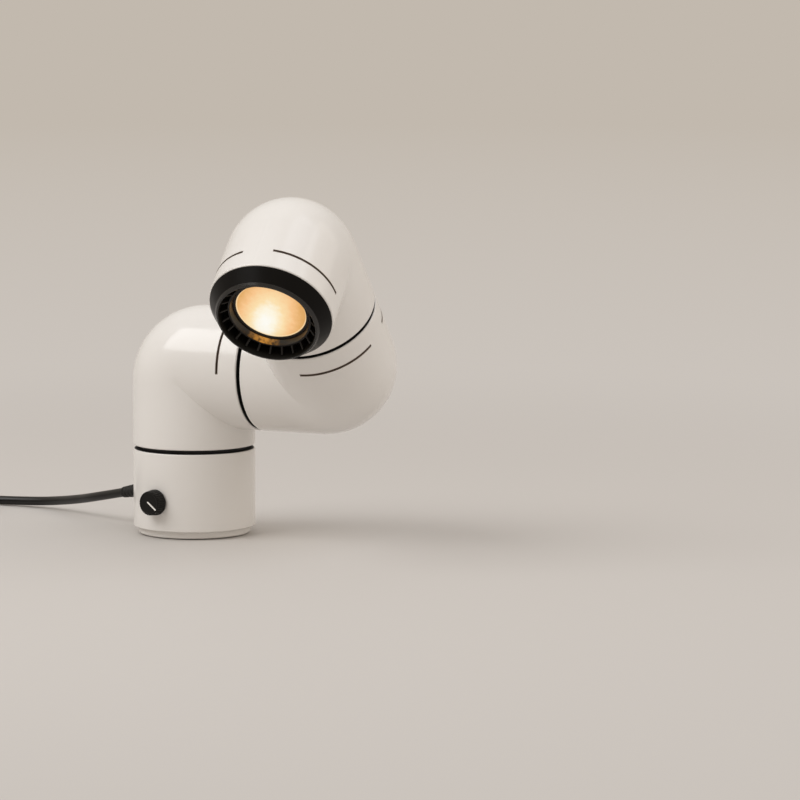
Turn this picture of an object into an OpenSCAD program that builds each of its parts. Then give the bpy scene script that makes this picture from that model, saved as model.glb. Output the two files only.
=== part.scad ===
// Jointed table lamp: a weighted base and three swivelling tube elbows, the last one with a reflector lamp.
// Millimetres. The origin is the middle of the foot on the table, with +Z up and +Y away from the viewer.

/* [Tube shells] */
// Outside diameter of the tube that all segments share
tube_d = 84; // [80:0.5:92]
// Wall thickness of the moulded shells
wall = 2.5; // [2:0.1:3.2]
// Thickness of the end lips that carry the swivels
lip_t = 3; // [2.4:0.1:4]
// Distance from an elbow's corner to each of its mouths
leg = 54.1; // [52:0.1:64]
// Bend radius of the elbow's axis at its outer corner
bend_r = 10.4; // [8:0.2:14]
// Gap between neighbouring segments
groove = 2.8; // [2:0.1:4]
// Rounding of the mouth edges
mouth_edge = 0.8; // [0.4:0.1:1.4]

/* [Vent slots] */
// Width of an arc slot
slot_w = 1.4; // [1:0.1:3]
// Distance from an elbow's outlet mouth to the middle of its slots
slot_setback = 14.5; // [12:0.5:20]
// Angle that each slot spans
slot_span = 75; // [40:1:80]
// Angle of solid wall between the outer side of the bend and each slot
slot_bridge = 15; // [10:1:25]

/* [Pose] */
// Direction of the lower elbow's outlet, from +X
base_turn = -26.4; // [-180:0.1:180]
// Turn of the middle elbow, from upright
arm_turn = 39.3; // [-100:0.1:100]
// Turn of the head, from pointing away from the base
head_turn = -83.5; // [-165:0.1:165]

/* [Swivels] */
// Total travel of the base swivel and of the head swivel
free_travel = 330; // [280:1:340]
// Total travel of the middle swivel
arm_travel = 200; // [160:1:240]
// Diameter of the friction washer in the groove
washer_d = 72; // [66:0.5:76]
// Outside diameter of the hollow pivot
pivot_d = 20; // [18:0.5:24]
// Bore of the hollow pivot, for the wires
pivot_bore = 12; // [8:0.5:14]
// Diameter of the pivot's flange
flange_d = 36; // [34:0.5:44]
// Thickness of the pivot's flange
flange_t = 2.5; // [2:0.1:4]
// Diameter of the flange screws
flange_screw_d = 3; // [2.5:0.1:3.5]
// Number of flange screws
flange_screws = 3; // [3:1:6]
// Height of the disc spring
spring_h = 1.6; // [1.2:0.1:2.4]
// Thickness of the disc spring's steel
spring_t = 0.7; // [0.5:0.1:1]
// Diameter of the disc spring
spring_d = 32; // [28:0.5:34]
// Thickness of the stop plate
plate_t = 2; // [1.5:0.1:3]
// Diameter of the stop plate's round part
plate_d = 29; // [27:0.5:32]
// Thickness of the pivot nut
nut_t = 4; // [3:0.1:6]
// Width of the pivot nut across its corners
nut_d = 28; // [26:0.5:34]
// Length of thread that shows past the nut
thread_show = 1; // [0.5:0.1:2]
// Radius of the circle that the stop pin stands on
stop_r = 20; // [19:0.5:24]
// Diameter of the stop pin
stop_pin_d = 4; // [3:0.1:5]
// Depth of the stop pin's seat in its lip
stop_seat = 2; // [1:0.1:2.2]

/* [Base] */
// Height of the base's top edge above the table
base_h = 58.9; // [57:0.1:75]
// Diameter of the foot
foot_d = 77; // [73:0.2:79]
// Height of the step between the foot and the base shell
foot_h = 5.5; // [5:0.5:8]
// Rounding of the foot's lower edge
foot_edge = 1.5; // [0.5:0.1:2]
// Height of the collar that centres the foot in the shell
collar_h = 2.5; // [2:0.1:4]
// Diameter of the anti-slip pad
pad_d = 71; // [66:0.5:72]
// Thickness of the anti-slip pad
pad_t = 1.5; // [1.2:0.1:2]
// Depth of the recess that holds the anti-slip pad
pad_sunk = 1; // [0.6:0.1:1.1]
// Free height between the ballast weight and the base swivel
ballast_room = 3.9; // [2:0.1:8]
// Width of the ledge that the ballast weight butts against
ledge_w = 1.2; // [0.8:0.1:2]
// Diameter of the wiring well in the ballast weight
well_d = 26; // [24:0.5:30]
// Thickness of the ballast weight under the wiring well
well_floor = 7; // [5:0.5:9]
// Radius of the circle that the cover screws stand on
cover_screw_r = 26; // [24:0.5:28]
// Direction of the first cover screw, from +X
cover_screw_dir = 60; // [56:1:64]
// Diameter of the cover screws
cover_screw_d = 4; // [3:0.1:5]
// Number of cover screws
cover_screws = 3; // [3:1:3]
// Depth of the cover screws in the ballast weight
cover_screw_bite = 8; // [6:0.5:10]

/* [Dimmer] */
// Direction of the dimmer knob, from +X
knob_az = -126.6; // [-150:0.1:-100]
// Height of the knob's axis above the table
knob_z = 25.5; // [25:0.5:32]
// Diameter of the knob at its base
knob_d = 17.7; // [15:0.1:20]
// Diameter of the knob at its face
knob_face_d = 16.4; // [14:0.1:17]
// Height of the knob
knob_h = 7.8; // [7:0.1:10]
// Running gap between the knob and the shell
knob_gap = 0.5; // [0.4:0.1:1]
// Number of flutes round the knob
knob_flutes = 30; // [18:1:36]
// Depth of a flute
flute_depth = 0.35; // [0.2:0.05:0.5]
// Radius of a flute
flute_r = 0.9; // [0.7:0.1:1]
// Direction of the pointer on the knob's face, from straight down
pointer_angle = 54; // [30:1:330]
// Reach of the pointer line from the middle of the face
pointer_l = 7.5; // [5:0.1:7.6]
// How far the pointer line runs past the middle of the face
pointer_back = 1.6; // [0:0.1:2]
// Width of the pointer line
pointer_w = 1.1; // [0.8:0.1:1.5]
// Depth of the pointer line
pointer_t = 0.6; // [0.4:0.1:1]
// Diameter of the dimmer's body
dimmer_d = 18; // [16:0.5:20]
// Depth of the dimmer's body
dimmer_l = 14; // [10:0.5:16]
// Depth of the flat seat inside the shell for the dimmer
dimmer_boss = 1.5; // [1.2:0.1:2.5]
// Diameter of the dimmer's threaded neck
neck_d = 7; // [6.6:0.1:8]
// Diameter of the dimmer's shaft
shaft_d = 4.6; // [4:0.1:5]
// Thickness of the dimmer's nut
dimmer_nut_t = 2; // [1.5:0.1:2.5]
// Width of the dimmer's nut across its corners
dimmer_nut_d = 11.5; // [10.5:0.1:12]
// Room round the dimmer in the ballast weight
dimmer_room = 2; // [1.5:0.1:3]

/* [Cord] */
// Diameter of the mains cord
cord_d = 6.3; // [5.5:0.1:6.5]
// Direction in which the cord leaves the base, from +X
cord_az = 141.3; // [130:0.1:150]
// Diameter of the grommet's flanges
grommet_d = 12.5; // [11:0.1:14]
// Thickness of the grommet's outer flange at its middle
grommet_t = 2.5; // [2:0.1:3.5]
// Diameter of the grommet's neck in the shell
grommet_neck_d = 9.2; // [8:0.1:10]
// Depth of the grommet's inner flange
grommet_in = 3; // [2:0.1:4]
// Width of the cord clamp
clamp_w = 17; // [16:0.1:19]
// Length of the cord clamp along the cord
clamp_l = 8; // [7:0.1:10]
// Thickness of the clamp over and under the cord
clamp_wall = 3; // [2:0.1:4]
// Diameter of the clamp screws
clamp_screw_d = 3; // [2.5:0.1:3.2]
// Depth of the clamp screws in the ballast weight
clamp_bite = 5; // [4:0.1:6]

/* [Coil of spare cord] */
// Gap between neighbouring turns
coil_gap = 0.5; // [0.45:0.05:1]
// Radius of the outermost turn
coil_r = 49.5; // [46:0.5:54]
// Turns from the outside to the middle, in each of the two layers
coil_turns = 3.125; // [2.125:0.5:3.125]
// Thickness of the tie round the coil
tie_t = 0.8; // [0.6:0.1:1.5]
// Width of the tie
tie_w = 9; // [6:0.5:12]
// Slack between the tie and the cord
tie_slack = 0.6; // [0.5:0.1:1]

/* [Plug] */
// Width of the plug
plug_w = 35; // [33:0.5:37]
// Thickness of the plug
plug_t = 13.7; // [12.5:0.1:15]
// Length of the plug's body
plug_l = 34; // [30:0.5:38]
// Width of the plug's rear end
plug_rear_w = 15; // [13:0.5:20]
// Length of the plug's cord sleeve
sleeve_l = 14; // [10:0.5:18]
// Diameter of the sleeve at the cord
sleeve_d = 8; // [7:0.1:9]
// Diameter of the sleeve at the plug
sleeve_wide_d = 11.7; // [10:0.1:12]
// Number of flexing grooves round the sleeve
sleeve_rings = 3; // [2:1:5]
// Depth of a flexing groove, and half its width
sleeve_cut = 0.7; // [0.4:0.1:0.8]
// Diameter of the pins
pin_d = 4; // [3.6:0.1:4.8]
// Length of the pins
pin_l = 19; // [17:0.5:20]
// Distance between the pins
pin_gap = 18.6; // [17.5:0.1:19.2]
// Depth of the pins in the plug
pin_seat = 8; // [6:0.5:12]

/* [Lamp head] */
// Depth of the bezel's skirt in the shell
skirt_h = 9; // [6:0.5:11]
// Thickness of the bezel's skirt
skirt_t = 2; // [1.5:0.1:2.5]
// Shell rim that shows round the bezel
bezel_inset = 0.8; // [0.5:0.1:1.2]
// Height of the bezel in front of the mouth
snout_h = 11; // [9.5:0.1:13]
// Width of the vent between the hub and the bezel's seat
vent_w = 3.55; // [3:0.05:4.5]
// Width of the bezel's front rim
rim_w = 1.4; // [1.2:0.1:2]
// Rounding of the bezel's front rim
rim_edge = 0.5; // [0.2:0.1:0.6]
// Height of the bezel's inner seat in front of the mouth
seat_z = 1; // [0.5:0.1:1.5]
// Draft of the bezel's bore between its seat and its front rim
seat_draft = 0.5; // [0.2:0.1:1]
// Number of cooling vanes
vanes = 24; // [18:1:30]
// Thickness of a vane
vane_t = 0.9; // [0.6:0.1:1.2]
// Depth of the vane ring behind the mouth
vane_back = 2; // [1.6:0.1:3]
// Height of the vanes' outer ends in front of the mouth
vane_front = 8.4; // [7:0.1:9]
// Height of the hub's lip in front of the mouth
hub_front = 4.6; // [4:0.1:5.5]
// Depth of the hub behind the mouth
hub_back = 7; // [6:0.1:8]
// Width of the hub's lip
hub_flat = 1.5; // [1:0.1:1.8]
// Wall of the hub in front of its flange
hub_wall = 2.8; // [2.4:0.1:3.4]
// Width of the flange at the back of the hub, for the bracket's screws
hub_flange = 1.2; // [1:0.1:1.5]
// Diameter of the reflector lamp
lamp_d = 50; // [48.5:0.1:50.5]
// Gap between the reflector lamp and its hub
lamp_gap = 0.5; // [0.3:0.1:0.8]
// How much smaller the lamp's front glass is than its rim, all round
glass_inset = 0.4; // [0.2:0.1:0.6]
// Clear diameter of the retaining ring in front of the lamp
lamp_view_d = 47.6; // [45:0.1:48]
// Depth of the lamp's front glass behind the mouth
glass_set = 0.8; // [0.6:0.1:1.5]
// Thickness of the lamp's front glass
glass_t = 1.8; // [1.4:0.1:2.2]
// Thickness of the retaining ring's lip
retainer_t = 1.2; // [0.8:0.1:1.5]
// Depth of the reflector
reflector_h = 32; // [28:0.5:34]
// Diameter of the reflector's neck
lamp_neck_d = 17; // [16:0.2:19]
// Thickness of the reflector's glass
reflector_t = 1.4; // [1:0.1:2]
// Depth of the reflector's straight rim
reflector_rim = 2; // [1.5:0.1:3]
// Step between the reflector's rim and its bell
reflector_step = 1; // [0.5:0.1:1.5]
// Diameter of the filament capsule
capsule_d = 9; // [8:0.1:11]
// Length of the filament capsule in front of its base
capsule_l = 20; // [16:0.5:22]
// Length of the lamp's ceramic base
lamp_base_l = 13; // [10:0.5:14]
// Diameter of the lamp's contact pins
contact_d = 5; // [4:0.1:5.2]
// Length of the lamp's contact pins
contact_l = 6; // [5:0.1:7]
// Distance between the lamp's contact pins
contact_gap = 10; // [9.5:0.1:10.5]
// Diameter of the lamp holder
holder_d = 28; // [26:0.5:30]
// Depth of the lamp holder
holder_l = 13; // [11:0.5:14]
// Thickness of the bracket's steel
bracket_t = 1.2; // [1:0.1:1.6]
// Width of the bracket
bracket_w = 12; // [11:0.5:14]
// Diameter of the bracket and holder screws
carrier_screw_d = 2.2; // [2:0.1:2.4]
// Depth of these screws past the bracket
carrier_bite = 5; // [4:0.1:6]
// Distance from the holder's edge to the middle of its screws
holder_screw_in = 4; // [3:0.1:5]

/* [Fits] */
// Gap of pieces that are fitted to each other and stay put
fit = 0.02; // [0.01:0.01:0.05]
// Gap of pieces that turn on each other
run_gap = 0.05; // [0.04:0.01:0.1]
// Gap of pieces that are dropped into a pocket or a tube
loose = 0.15; // [0.1:0.05:0.3]

/* [Hidden] */
$fn = 96;

// Colours
shell_white = "#e4e0da";
plastic_black = "#1d1b1a";
rubber_black = "#262524";
steel_grey = "#a9abad";
zinc_grey = "#c3c4c2";
brass = "#c0a25a";
iron_grey = "#55575a";
ceramic = "#eee8da";
glass_warm = "#ffdca0";
line_white = "#f5f5f2";

// How far a cutting tool runs past what it cuts
cut = 1;
// Height of a screw's head as a share of its thread
head_share = 0.6;

// Tube and swivel levels, measured from the inlet mouth of the segment above the swivel
tube_r = tube_d / 2;
inner_r = tube_r - wall;
lip_under = -groove - lip_t;
spring_low = lip_under - spring_h;
plate_low = spring_low - plate_t;
nut_low = plate_low - nut_t;
pivot_low = nut_low - thread_show;
flange_screw_r = (flange_d + pivot_d) / 4;
stop_pin_low = plate_low - cut;
stop_slack = 1;
base_stop_dir = base_turn + 180;
turns = [base_turn, 180 + arm_turn, 180 + head_turn];
travels = [free_travel, arm_travel, free_travel];
stop_dirs = [base_stop_dir, 0, 0];

// Base levels above the table
foot_lift = pad_t - pad_sunk;
cover_seat = pad_t + head_share * cover_screw_d + loose;
ballast_low = foot_h + collar_h;
ballast_top = base_h + groove + pivot_low - ballast_room;
well_z = ballast_low + well_floor;

// Distances along the dimmer's axis from the middle of the base
dimmer_seat = inner_r - dimmer_boss;
nut_seat = tube_r - 0.4;
neck_end = nut_seat + dimmer_nut_t + 0.6;
knob_low = tube_r + knob_gap;
knob_face = knob_low + knob_h;
knob_recess = neck_end + 0.4 - knob_low;
pocket_w = dimmer_d + 2 * dimmer_room;
shaft_end = knob_face - 2;

// Distances along the cord's way out of the base
cord_r = cord_d / 2;
cord_z = knob_z;
grommet_face = tube_r + grommet_t;
grommet_back = inner_r - grommet_in;
clamp_out = grommet_back - 4;
clamp_floor = cord_z - cord_r - clamp_wall;
clamp_top = cord_z + cord_r + clamp_wall;
clamp_screw_y = cord_r + clamp_screw_d / 2 + 0.8;
cord_pocket_w = clamp_w + 2 * loose;

// Coil of spare cord, beside the lamp on the table
pitch = cord_d + coil_gap;
coil_middle = [-205, 93];
coil_start = 90;
coil_inner_r = coil_r - pitch * coil_turns;
coil_low = tie_t + tie_slack + cord_r;
rings_per_turn = 24;
coil_sides = 6;
lead_sides = 10;
tie_dir = 290;

// Route of the free stretch from the grommet to the coil
cord_out = [cos(cord_az), sin(cord_az), 0];
cord_exit = grommet_face * cord_out + [0, 0, cord_z];
lead_route = [
    cord_exit,
    cord_exit + 8 * cord_out - [0, 0, 0.8],
    [-69, 62, 16.5],
    [-84, 84, 11.5],
    [-100, 107, 7.2],
    [-116, 122, 4.8],
    [-144, 136, 3.6],
    [-172, 141.5, coil_low - 0.2],
    coil_point(0) + [cord_d, 0, 0],
];

// Route of the free stretch from the coil to the plug
plug_z = plug_t / 2;
coil_end = coil_point(2 * coil_turns);
cord_end_l = 58;
plug_back = coil_end - [0, cord_d + cord_end_l, 0];
end_route = [
    coil_end - [0, cord_d, 0],
    coil_end - [0, cord_d + 12, 0.6],
    [coil_end.x, coil_end.y - 40, plug_z + 0.6],
    [plug_back.x, plug_back.y + 8, plug_z],
    [plug_back.x, plug_back.y, plug_z],
];

// Lamp head, radii in the mouth and distances in front of it
bezel_r = tube_r - bezel_inset;
skirt_r = inner_r - loose;
ring_out_r = skirt_r - skirt_t;
lamp_bore_r = lamp_d / 2 + lamp_gap;
hub_r = lamp_bore_r + hub_wall;
hub_flange_r = hub_r + hub_flange;
hub_flange_z = carrier_bite + 2 * loose - hub_back;
vane_r = hub_r + vent_w;
seat_r = vane_r + loose;
rim_r = seat_r + seat_draft;
snout_r = rim_r + rim_w;
retainer_r = lamp_bore_r - fit;
glass_z = -glass_set;
reflector_z = glass_z - glass_t;
neck_z = reflector_z - reflector_h;
base_end_z = neck_z - lamp_base_l;
holder_z = base_end_z - holder_l;
bracket_z = holder_z - bracket_t;
tab_r = (lamp_bore_r + hub_flange_r) / 2;
tab_z = -hub_back - bracket_t;
bracket_r = tab_r - carrier_screw_d - loose;
holder_screw_r = holder_d / 2 - holder_screw_in;
echo(coil_least_gap = least_gap([for (i = [0:ring_count]) coil_point(i / rings_per_turn)]) - cord_d);
echo(cord_length = path_length(smooth(lead_route, 8)) + path_length(smooth(end_route, 8))
    + path_length([for (i = [0:ring_count]) coil_point(i / rings_per_turn)]) + 2 * cord_d);

// Frames

// The fixed side of swivel n, with its axis on Z and the inlet mouth of the segment above it at z = 0
module joint_frame(n) {
    if (n == 0)
        translate([0, 0, base_h + groove]) children();
    else
        segment_frame(n - 1) translate([leg + groove, 0, leg]) rotate([0, 90, 0]) children();
}

// The turning side of swivel n: the inlet runs along Z to the corner and the outlet leaves along X
module segment_frame(n) {
    joint_frame(n) rotate([0, 0, turns[n]]) children();
}

// The head's mouth, with +Z pointing out of it
module mouth_frame() {
    segment_frame(2) translate([leg, 0, leg]) rotate([0, 90, 0]) children();
}

// A radial line out of the base at height z, with +Z pointing outwards and +X down
module radial_frame(azimuth, z) {
    rotate([0, 0, azimuth]) translate([0, 0, z]) rotate([0, 90, 0]) children();
}

// Shared shapes

module span(r, low, high) {
    translate([0, 0, low]) cylinder(r = r, h = high - low);
}

module hollow_span(r, bore, low, high) {
    difference() {
        span(r, low, high);
        span(bore, low - cut, high + cut);
    }
}

// A solid post whose lower edge is rounded
module rounded_post(r, h, edge) {
    rotate_extrude() {
        translate([0, edge]) square([r, h - edge]);
        square([r - edge, h]);
        translate([r - edge, edge]) circle(r = edge);
    }
}

module rounded_rect(w, h, corner) {
    square([w - 2 * corner, h], center = true);
    square([w, h - 2 * corner], center = true);
    for (x = [-1, 1], y = [-1, 1])
        translate([x * (w / 2 - corner), y * (h / 2 - corner)]) circle(r = corner);
}

module around(count, r) {
    for (i = [0:count - 1])
        rotate([0, 0, i * 360 / count]) translate([r, 0, 0]) children();
}

// A pan-head screw whose head stands on z = 0 and whose shank points down
module screw(d, length) {
    span(d / 2, -length, 0);
    difference() {
        span(d, 0, d * head_share);
        translate([0, 0, d * head_share]) cube([2 * d + cut, d / 4, d / 2], center = true);
    }
}

// Cords

function unit(v) = v / norm(v);
function curve(a, b, c, d, t) =
    0.5 * (2 * b + (c - a) * t + (2 * a - 5 * b + 4 * c - d) * t * t + (3 * b - a - 3 * c + d) * t * t * t);
// Points on a smooth curve through a route, with a number of steps between its points
function smooth(route, steps) = let (last = len(route) - 1) concat(
    [for (i = [0:last - 1], j = [0:steps - 1])
        curve(i == 0 ? 2 * route[0] - route[1] : route[i - 1], route[i], route[i + 1],
            i + 1 == last ? 2 * route[last] - route[last - 1] : route[i + 2], j / steps)],
    [route[last]]);
function path_length(points) = let (steps = [for (i = [1:len(points) - 1]) norm(points[i] - points[i - 1])])
    steps * [for (s = steps) 1];
function least_gap(points) = min([for (i = [0:len(points) - 1], j = [i + 12:1:len(points) - 1])
    norm(points[i] - points[j])]);

// Spiral in on the lower layer and out on the upper one, climbing in the half turn where it reverses
ring_count = round(2 * coil_turns * rings_per_turn);
function coil_point(turn) = let (
    from_middle = turn - coil_turns,
    r = coil_inner_r + pitch * abs(from_middle),
    climb = (1 + sin(180 * max(-0.5, min(0.5, 2 * from_middle)))) / 2,
    a = coil_start + 360 * turn)
    [coil_middle.x + r * cos(a), coil_middle.y + r * sin(a), coil_low + pitch * climb];

// One closed tube along a list of points, with its end faces square to the first and last steps
module tube(points, r, sides, start_dir, end_dir) {
    last = len(points) - 1;
    ahead = [for (i = [0:last])
        i == 0 ? start_dir : i == last ? end_dir : unit(points[i + 1] - points[i - 1])];
    side = [for (v = ahead) unit(cross(v, [0, 0, 1]))];
    rise = [for (i = [0:last]) cross(side[i], ahead[i])];
    corners = [for (i = [0:last], k = [0:sides - 1])
        points[i] + r * (side[i] * cos(k * 360 / sides) + rise[i] * sin(k * 360 / sides))];
    walls = [for (i = [0:last - 1], k = [0:sides - 1], half = [0, 1]) let (
        a = i * sides + k,
        b = i * sides + (k + 1) % sides)
        half == 0 ? [a, b + sides, b] : [a, a + sides, b + sides]];
    near = [for (k = [1:sides - 2]) [0, k, k + 1]];
    far = [for (k = [1:sides - 2]) [last * sides, last * sides + k + 1, last * sides + k]];
    polyhedron(corners, concat(near, walls, far), convexity = 10);
}

module cord_lead() {
    color(rubber_black) tube(smooth(lead_route, 2), cord_r, lead_sides, cord_out, [-1, 0, 0]);
}

module cord_coil() {
    turns_path = [for (i = [0:ring_count]) coil_point(i / rings_per_turn)];
    path = concat([turns_path[0] + [cord_d, 0, 0]], turns_path, [coil_end - [0, cord_d, 0]]);
    color(rubber_black) tube(path, cord_r, coil_sides, [-1, 0, 0], [0, -1, 0]);
}

module cord_end() {
    color(rubber_black) tube(smooth(end_route, 2), cord_r, lead_sides, [0, -1, 0], [0, -1, 0]);
}

// A strap round all the turns of the coil at one place
module cord_tie() {
    first = (tie_dir - coil_start) / 360;
    radii = [for (t = [first:1:2 * coil_turns]) coil_inner_r + pitch * abs(t - coil_turns)];
    in_w = max(radii) - min(radii) + cord_d + 2 * tie_slack;
    in_h = pitch + cord_d + 2 * tie_slack;
    color(plastic_black)
        translate([coil_middle.x, coil_middle.y, coil_low + pitch / 2]) rotate([0, 0, tie_dir])
            translate([(max(radii) + min(radii)) / 2, tie_w / 2, 0]) rotate([90, 0, 0])
                linear_extrude(tie_w) difference() {
                    rounded_rect(in_w + 2 * tie_t, in_h + 2 * tie_t, 2.5 + tie_t);
                    rounded_rect(in_w, in_h, 2.5);
                }
}

// Flat two-pin plug that lies on the table, pointing along -Y
module plug_frame() {
    translate([plug_back.x, plug_back.y, plug_z]) rotate([90, 0, 0]) children();
}

module plug_body() {
    front = sleeve_l + plug_l;
    shoulder = sleeve_l + plug_l * 0.55;
    color(plastic_black) plug_frame() difference() {
        union() {
            cylinder(d1 = sleeve_d, d2 = sleeve_wide_d, h = sleeve_l);
            intersection() {
                translate([0, plug_t / 2, 0]) rotate([90, 0, 0]) linear_extrude(plug_t) polygon([
                    [-plug_rear_w / 2, sleeve_l], [-plug_w / 2, shoulder], [-plug_w / 2, front],
                    [plug_w / 2, front], [plug_w / 2, shoulder], [plug_rear_w / 2, sleeve_l],
                ]);
                linear_extrude(front) rounded_rect(plug_w, plug_t, plug_t * 0.35);
            }
        }
        for (x = [-1, 1])
            translate([x * pin_gap / 2, 0, 0]) span(pin_d / 2 + fit, front - pin_seat, front + cut);
        for (i = [1:sleeve_rings]) {
            at = i * sleeve_l / (sleeve_rings + 1);
            hollow_span(plug_t, sleeve_d / 2 + (sleeve_wide_d - sleeve_d) / 2 * at / sleeve_l - sleeve_cut,
                at - sleeve_cut, at + sleeve_cut);
        }
    }
}

module plug_pins() {
    front = sleeve_l + plug_l;
    color(brass) plug_frame() for (x = [-1, 1]) translate([x * pin_gap / 2, 0, 0]) {
        span(pin_d / 2, front - pin_seat, front + pin_l - pin_d / 2);
        translate([0, 0, front + pin_l - pin_d / 2]) sphere(r = pin_d / 2);
    }
}

// Base

module base_shell() {
    color(shell_white) difference() {
        intersection() {
            translate([0, 0, foot_h]) rounded_post(tube_r, base_h - foot_h, mouth_edge);
            translate([0, 0, base_h]) mirror([0, 0, 1]) rounded_post(tube_r, base_h - foot_h, mouth_edge);
        }
        difference() {
            union() {
                span(inner_r, foot_h - cut, ballast_top);
                span(inner_r - ledge_w, ballast_top - cut, base_h - lip_t);
            }
            radial_frame(knob_az, knob_z) span(dimmer_d / 2, dimmer_seat, tube_r);
        }
        span(pivot_d / 2 + run_gap, base_h - lip_t - cut, base_h + cut);
        joint_frame(0) stop_pin_shape(0, fit);
        radial_frame(knob_az, knob_z) span(neck_d / 2 + fit, dimmer_seat - cut, tube_r + cut);
        radial_frame(knob_az, knob_z) span(dimmer_nut_d / 2 + 0.3, nut_seat, tube_r + cut);
        radial_frame(cord_az, cord_z) span(grommet_neck_d / 2 + fit, grommet_back, tube_r + cut);
    }
}

module bottom_cover() {
    color(shell_white) difference() {
        union() {
            translate([0, 0, foot_lift]) rounded_post(foot_d / 2, foot_h - foot_lift, foot_edge);
            span(inner_r - loose, foot_h, ballast_low);
        }
        span(pad_d / 2 + fit, foot_lift - cut, pad_t);
        cover_screw_places() {
            span(cover_screw_d / 2 + loose, 0, ballast_low + cut);
            span(cover_screw_d + loose, 0, cover_seat);
        }
    }
}

module anti_slip_pad() {
    color(rubber_black) span(pad_d / 2, 0, pad_t);
}

module cover_screw_places() {
    rotate([0, 0, cover_screw_dir]) around(cover_screws, cover_screw_r) children();
}

module cover_screws() {
    color(steel_grey) cover_screw_places() translate([0, 0, cover_seat]) mirror([0, 0, 1])
        screw(cover_screw_d, ballast_low + cover_screw_bite - cover_seat);
}

module ballast_weight() {
    color(iron_grey) difference() {
        span(inner_r - loose, ballast_low, ballast_top);
        span(well_d / 2, well_z, ballast_top + cut);
        rotate([0, 0, knob_az]) translate([0, -pocket_w / 2, knob_z - pocket_w / 2])
            cube([tube_r, pocket_w, ballast_top]);
        rotate([0, 0, cord_az]) translate([0, -cord_pocket_w / 2, clamp_floor])
            cube([tube_r, cord_pocket_w, ballast_top]);
        cover_screw_places()
            span(cover_screw_d / 2 + fit, ballast_low - cut, ballast_low + cover_screw_bite + cut);
        clamp_screw_places()
            span(clamp_screw_d / 2 + fit, clamp_floor - clamp_bite - cut, clamp_floor + cut);
    }
}

module clamp_screw_places() {
    for (y = [-1, 1])
        rotate([0, 0, cord_az]) translate([clamp_out - clamp_l / 2, y * clamp_screw_y, 0]) children();
}

module cord_clamp() {
    color(plastic_black) difference() {
        rotate([0, 0, cord_az]) translate([clamp_out - clamp_l, -clamp_w / 2, clamp_floor])
            cube([clamp_l, clamp_w, clamp_top - clamp_floor]);
        radial_frame(cord_az, cord_z) span(cord_r + fit, 0, tube_r);
        clamp_screw_places() span(clamp_screw_d / 2 + fit, clamp_floor - cut, clamp_top + cut);
    }
}

module clamp_screws() {
    color(steel_grey) clamp_screw_places() translate([0, 0, clamp_top])
        screw(clamp_screw_d, clamp_top - clamp_floor + clamp_bite);
}

module inner_cord() {
    color(rubber_black) radial_frame(cord_az, cord_z) span(cord_r, clamp_out - clamp_l - 4, grommet_back);
}

// Rubber grommet whose flanges follow the round shell on both sides
module cord_grommet() {
    color(rubber_black) {
        difference() {
            radial_frame(cord_az, cord_z) span(grommet_d / 2, inner_r, grommet_face);
            span(tube_r + fit, 0, base_h);
        }
        radial_frame(cord_az, cord_z) span(grommet_neck_d / 2, grommet_back, grommet_face - cut);
        intersection() {
            radial_frame(cord_az, cord_z) span(grommet_d / 2, grommet_back, tube_r);
            span(inner_r - fit, 0, base_h);
        }
    }
}

// Two-pole block that joins the cord to the dimmer and to the wires of the head
module terminal_block() {
    block = [17, 10, 9];
    color(ceramic) translate([0, 0, well_z]) rotate([0, 0, (knob_az + cord_az) / 2]) difference() {
        translate([-block.x / 2, -block.y / 2, 0]) cube(block);
        for (x = [-1, 1]) translate([x * block.x / 4, 0, 0]) {
            translate([0, 0, block.z / 2]) rotate([90, 0, 0]) span(1.5, -block.y, block.y);
            span(1.6, block.z / 2, block.z + cut);
        }
    }
}

// Dimmer

module dimmer_body() {
    color(zinc_grey) radial_frame(knob_az, knob_z) difference() {
        union() {
            span(dimmer_d / 2, dimmer_seat - dimmer_l, dimmer_seat);
            span(neck_d / 2, dimmer_seat - cut, neck_end);
            for (y = [-1, 0, 1]) translate([dimmer_d / 2, y * 5 - 1, dimmer_seat - dimmer_l / 2])
                translate([-cut, 0, 0]) cube([cut + dimmer_room - 0.4, 2, 0.8]);
        }
        span(shaft_d / 2 + run_gap, dimmer_seat - dimmer_l / 2, neck_end + cut);
    }
}

module dimmer_nut() {
    color(zinc_grey) radial_frame(knob_az, knob_z) difference() {
        translate([0, 0, nut_seat]) cylinder(d = dimmer_nut_d, h = dimmer_nut_t, $fn = 6);
        span(neck_d / 2 + fit, nut_seat - cut, nut_seat + dimmer_nut_t + cut);
    }
}

// Round shaft with a flat on its outer end
module shaft_shape(gap) {
    difference() {
        span(shaft_d / 2 + gap, dimmer_seat - dimmer_l / 2 + run_gap, shaft_end + gap);
        translate([-shaft_d, shaft_d * 0.3 + gap, neck_end + 0.8]) cube([2 * shaft_d, shaft_d, knob_h]);
    }
}

module dimmer_shaft() {
    color(zinc_grey) radial_frame(knob_az, knob_z) shaft_shape(0);
}

module dimmer_knob() {
    color(plastic_black) radial_frame(knob_az, knob_z) difference() {
        translate([0, 0, knob_low]) rotate_extrude() {
            polygon([[0, 0], [knob_d / 2, 0], [knob_d / 2, 1.2], [knob_face_d / 2, knob_h - 0.6],
                [knob_face_d / 2 - 0.6, knob_h], [0, knob_h]]);
        }
        span(dimmer_nut_d / 2 + 0.8, knob_low - cut, knob_low + knob_recess);
        shaft_shape(fit);
        around(knob_flutes, knob_d / 2 + flute_r - flute_depth)
            span(flute_r, knob_low + 2 * flute_r, knob_face + cut);
        pointer_shape(fit);
    }
}

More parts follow.
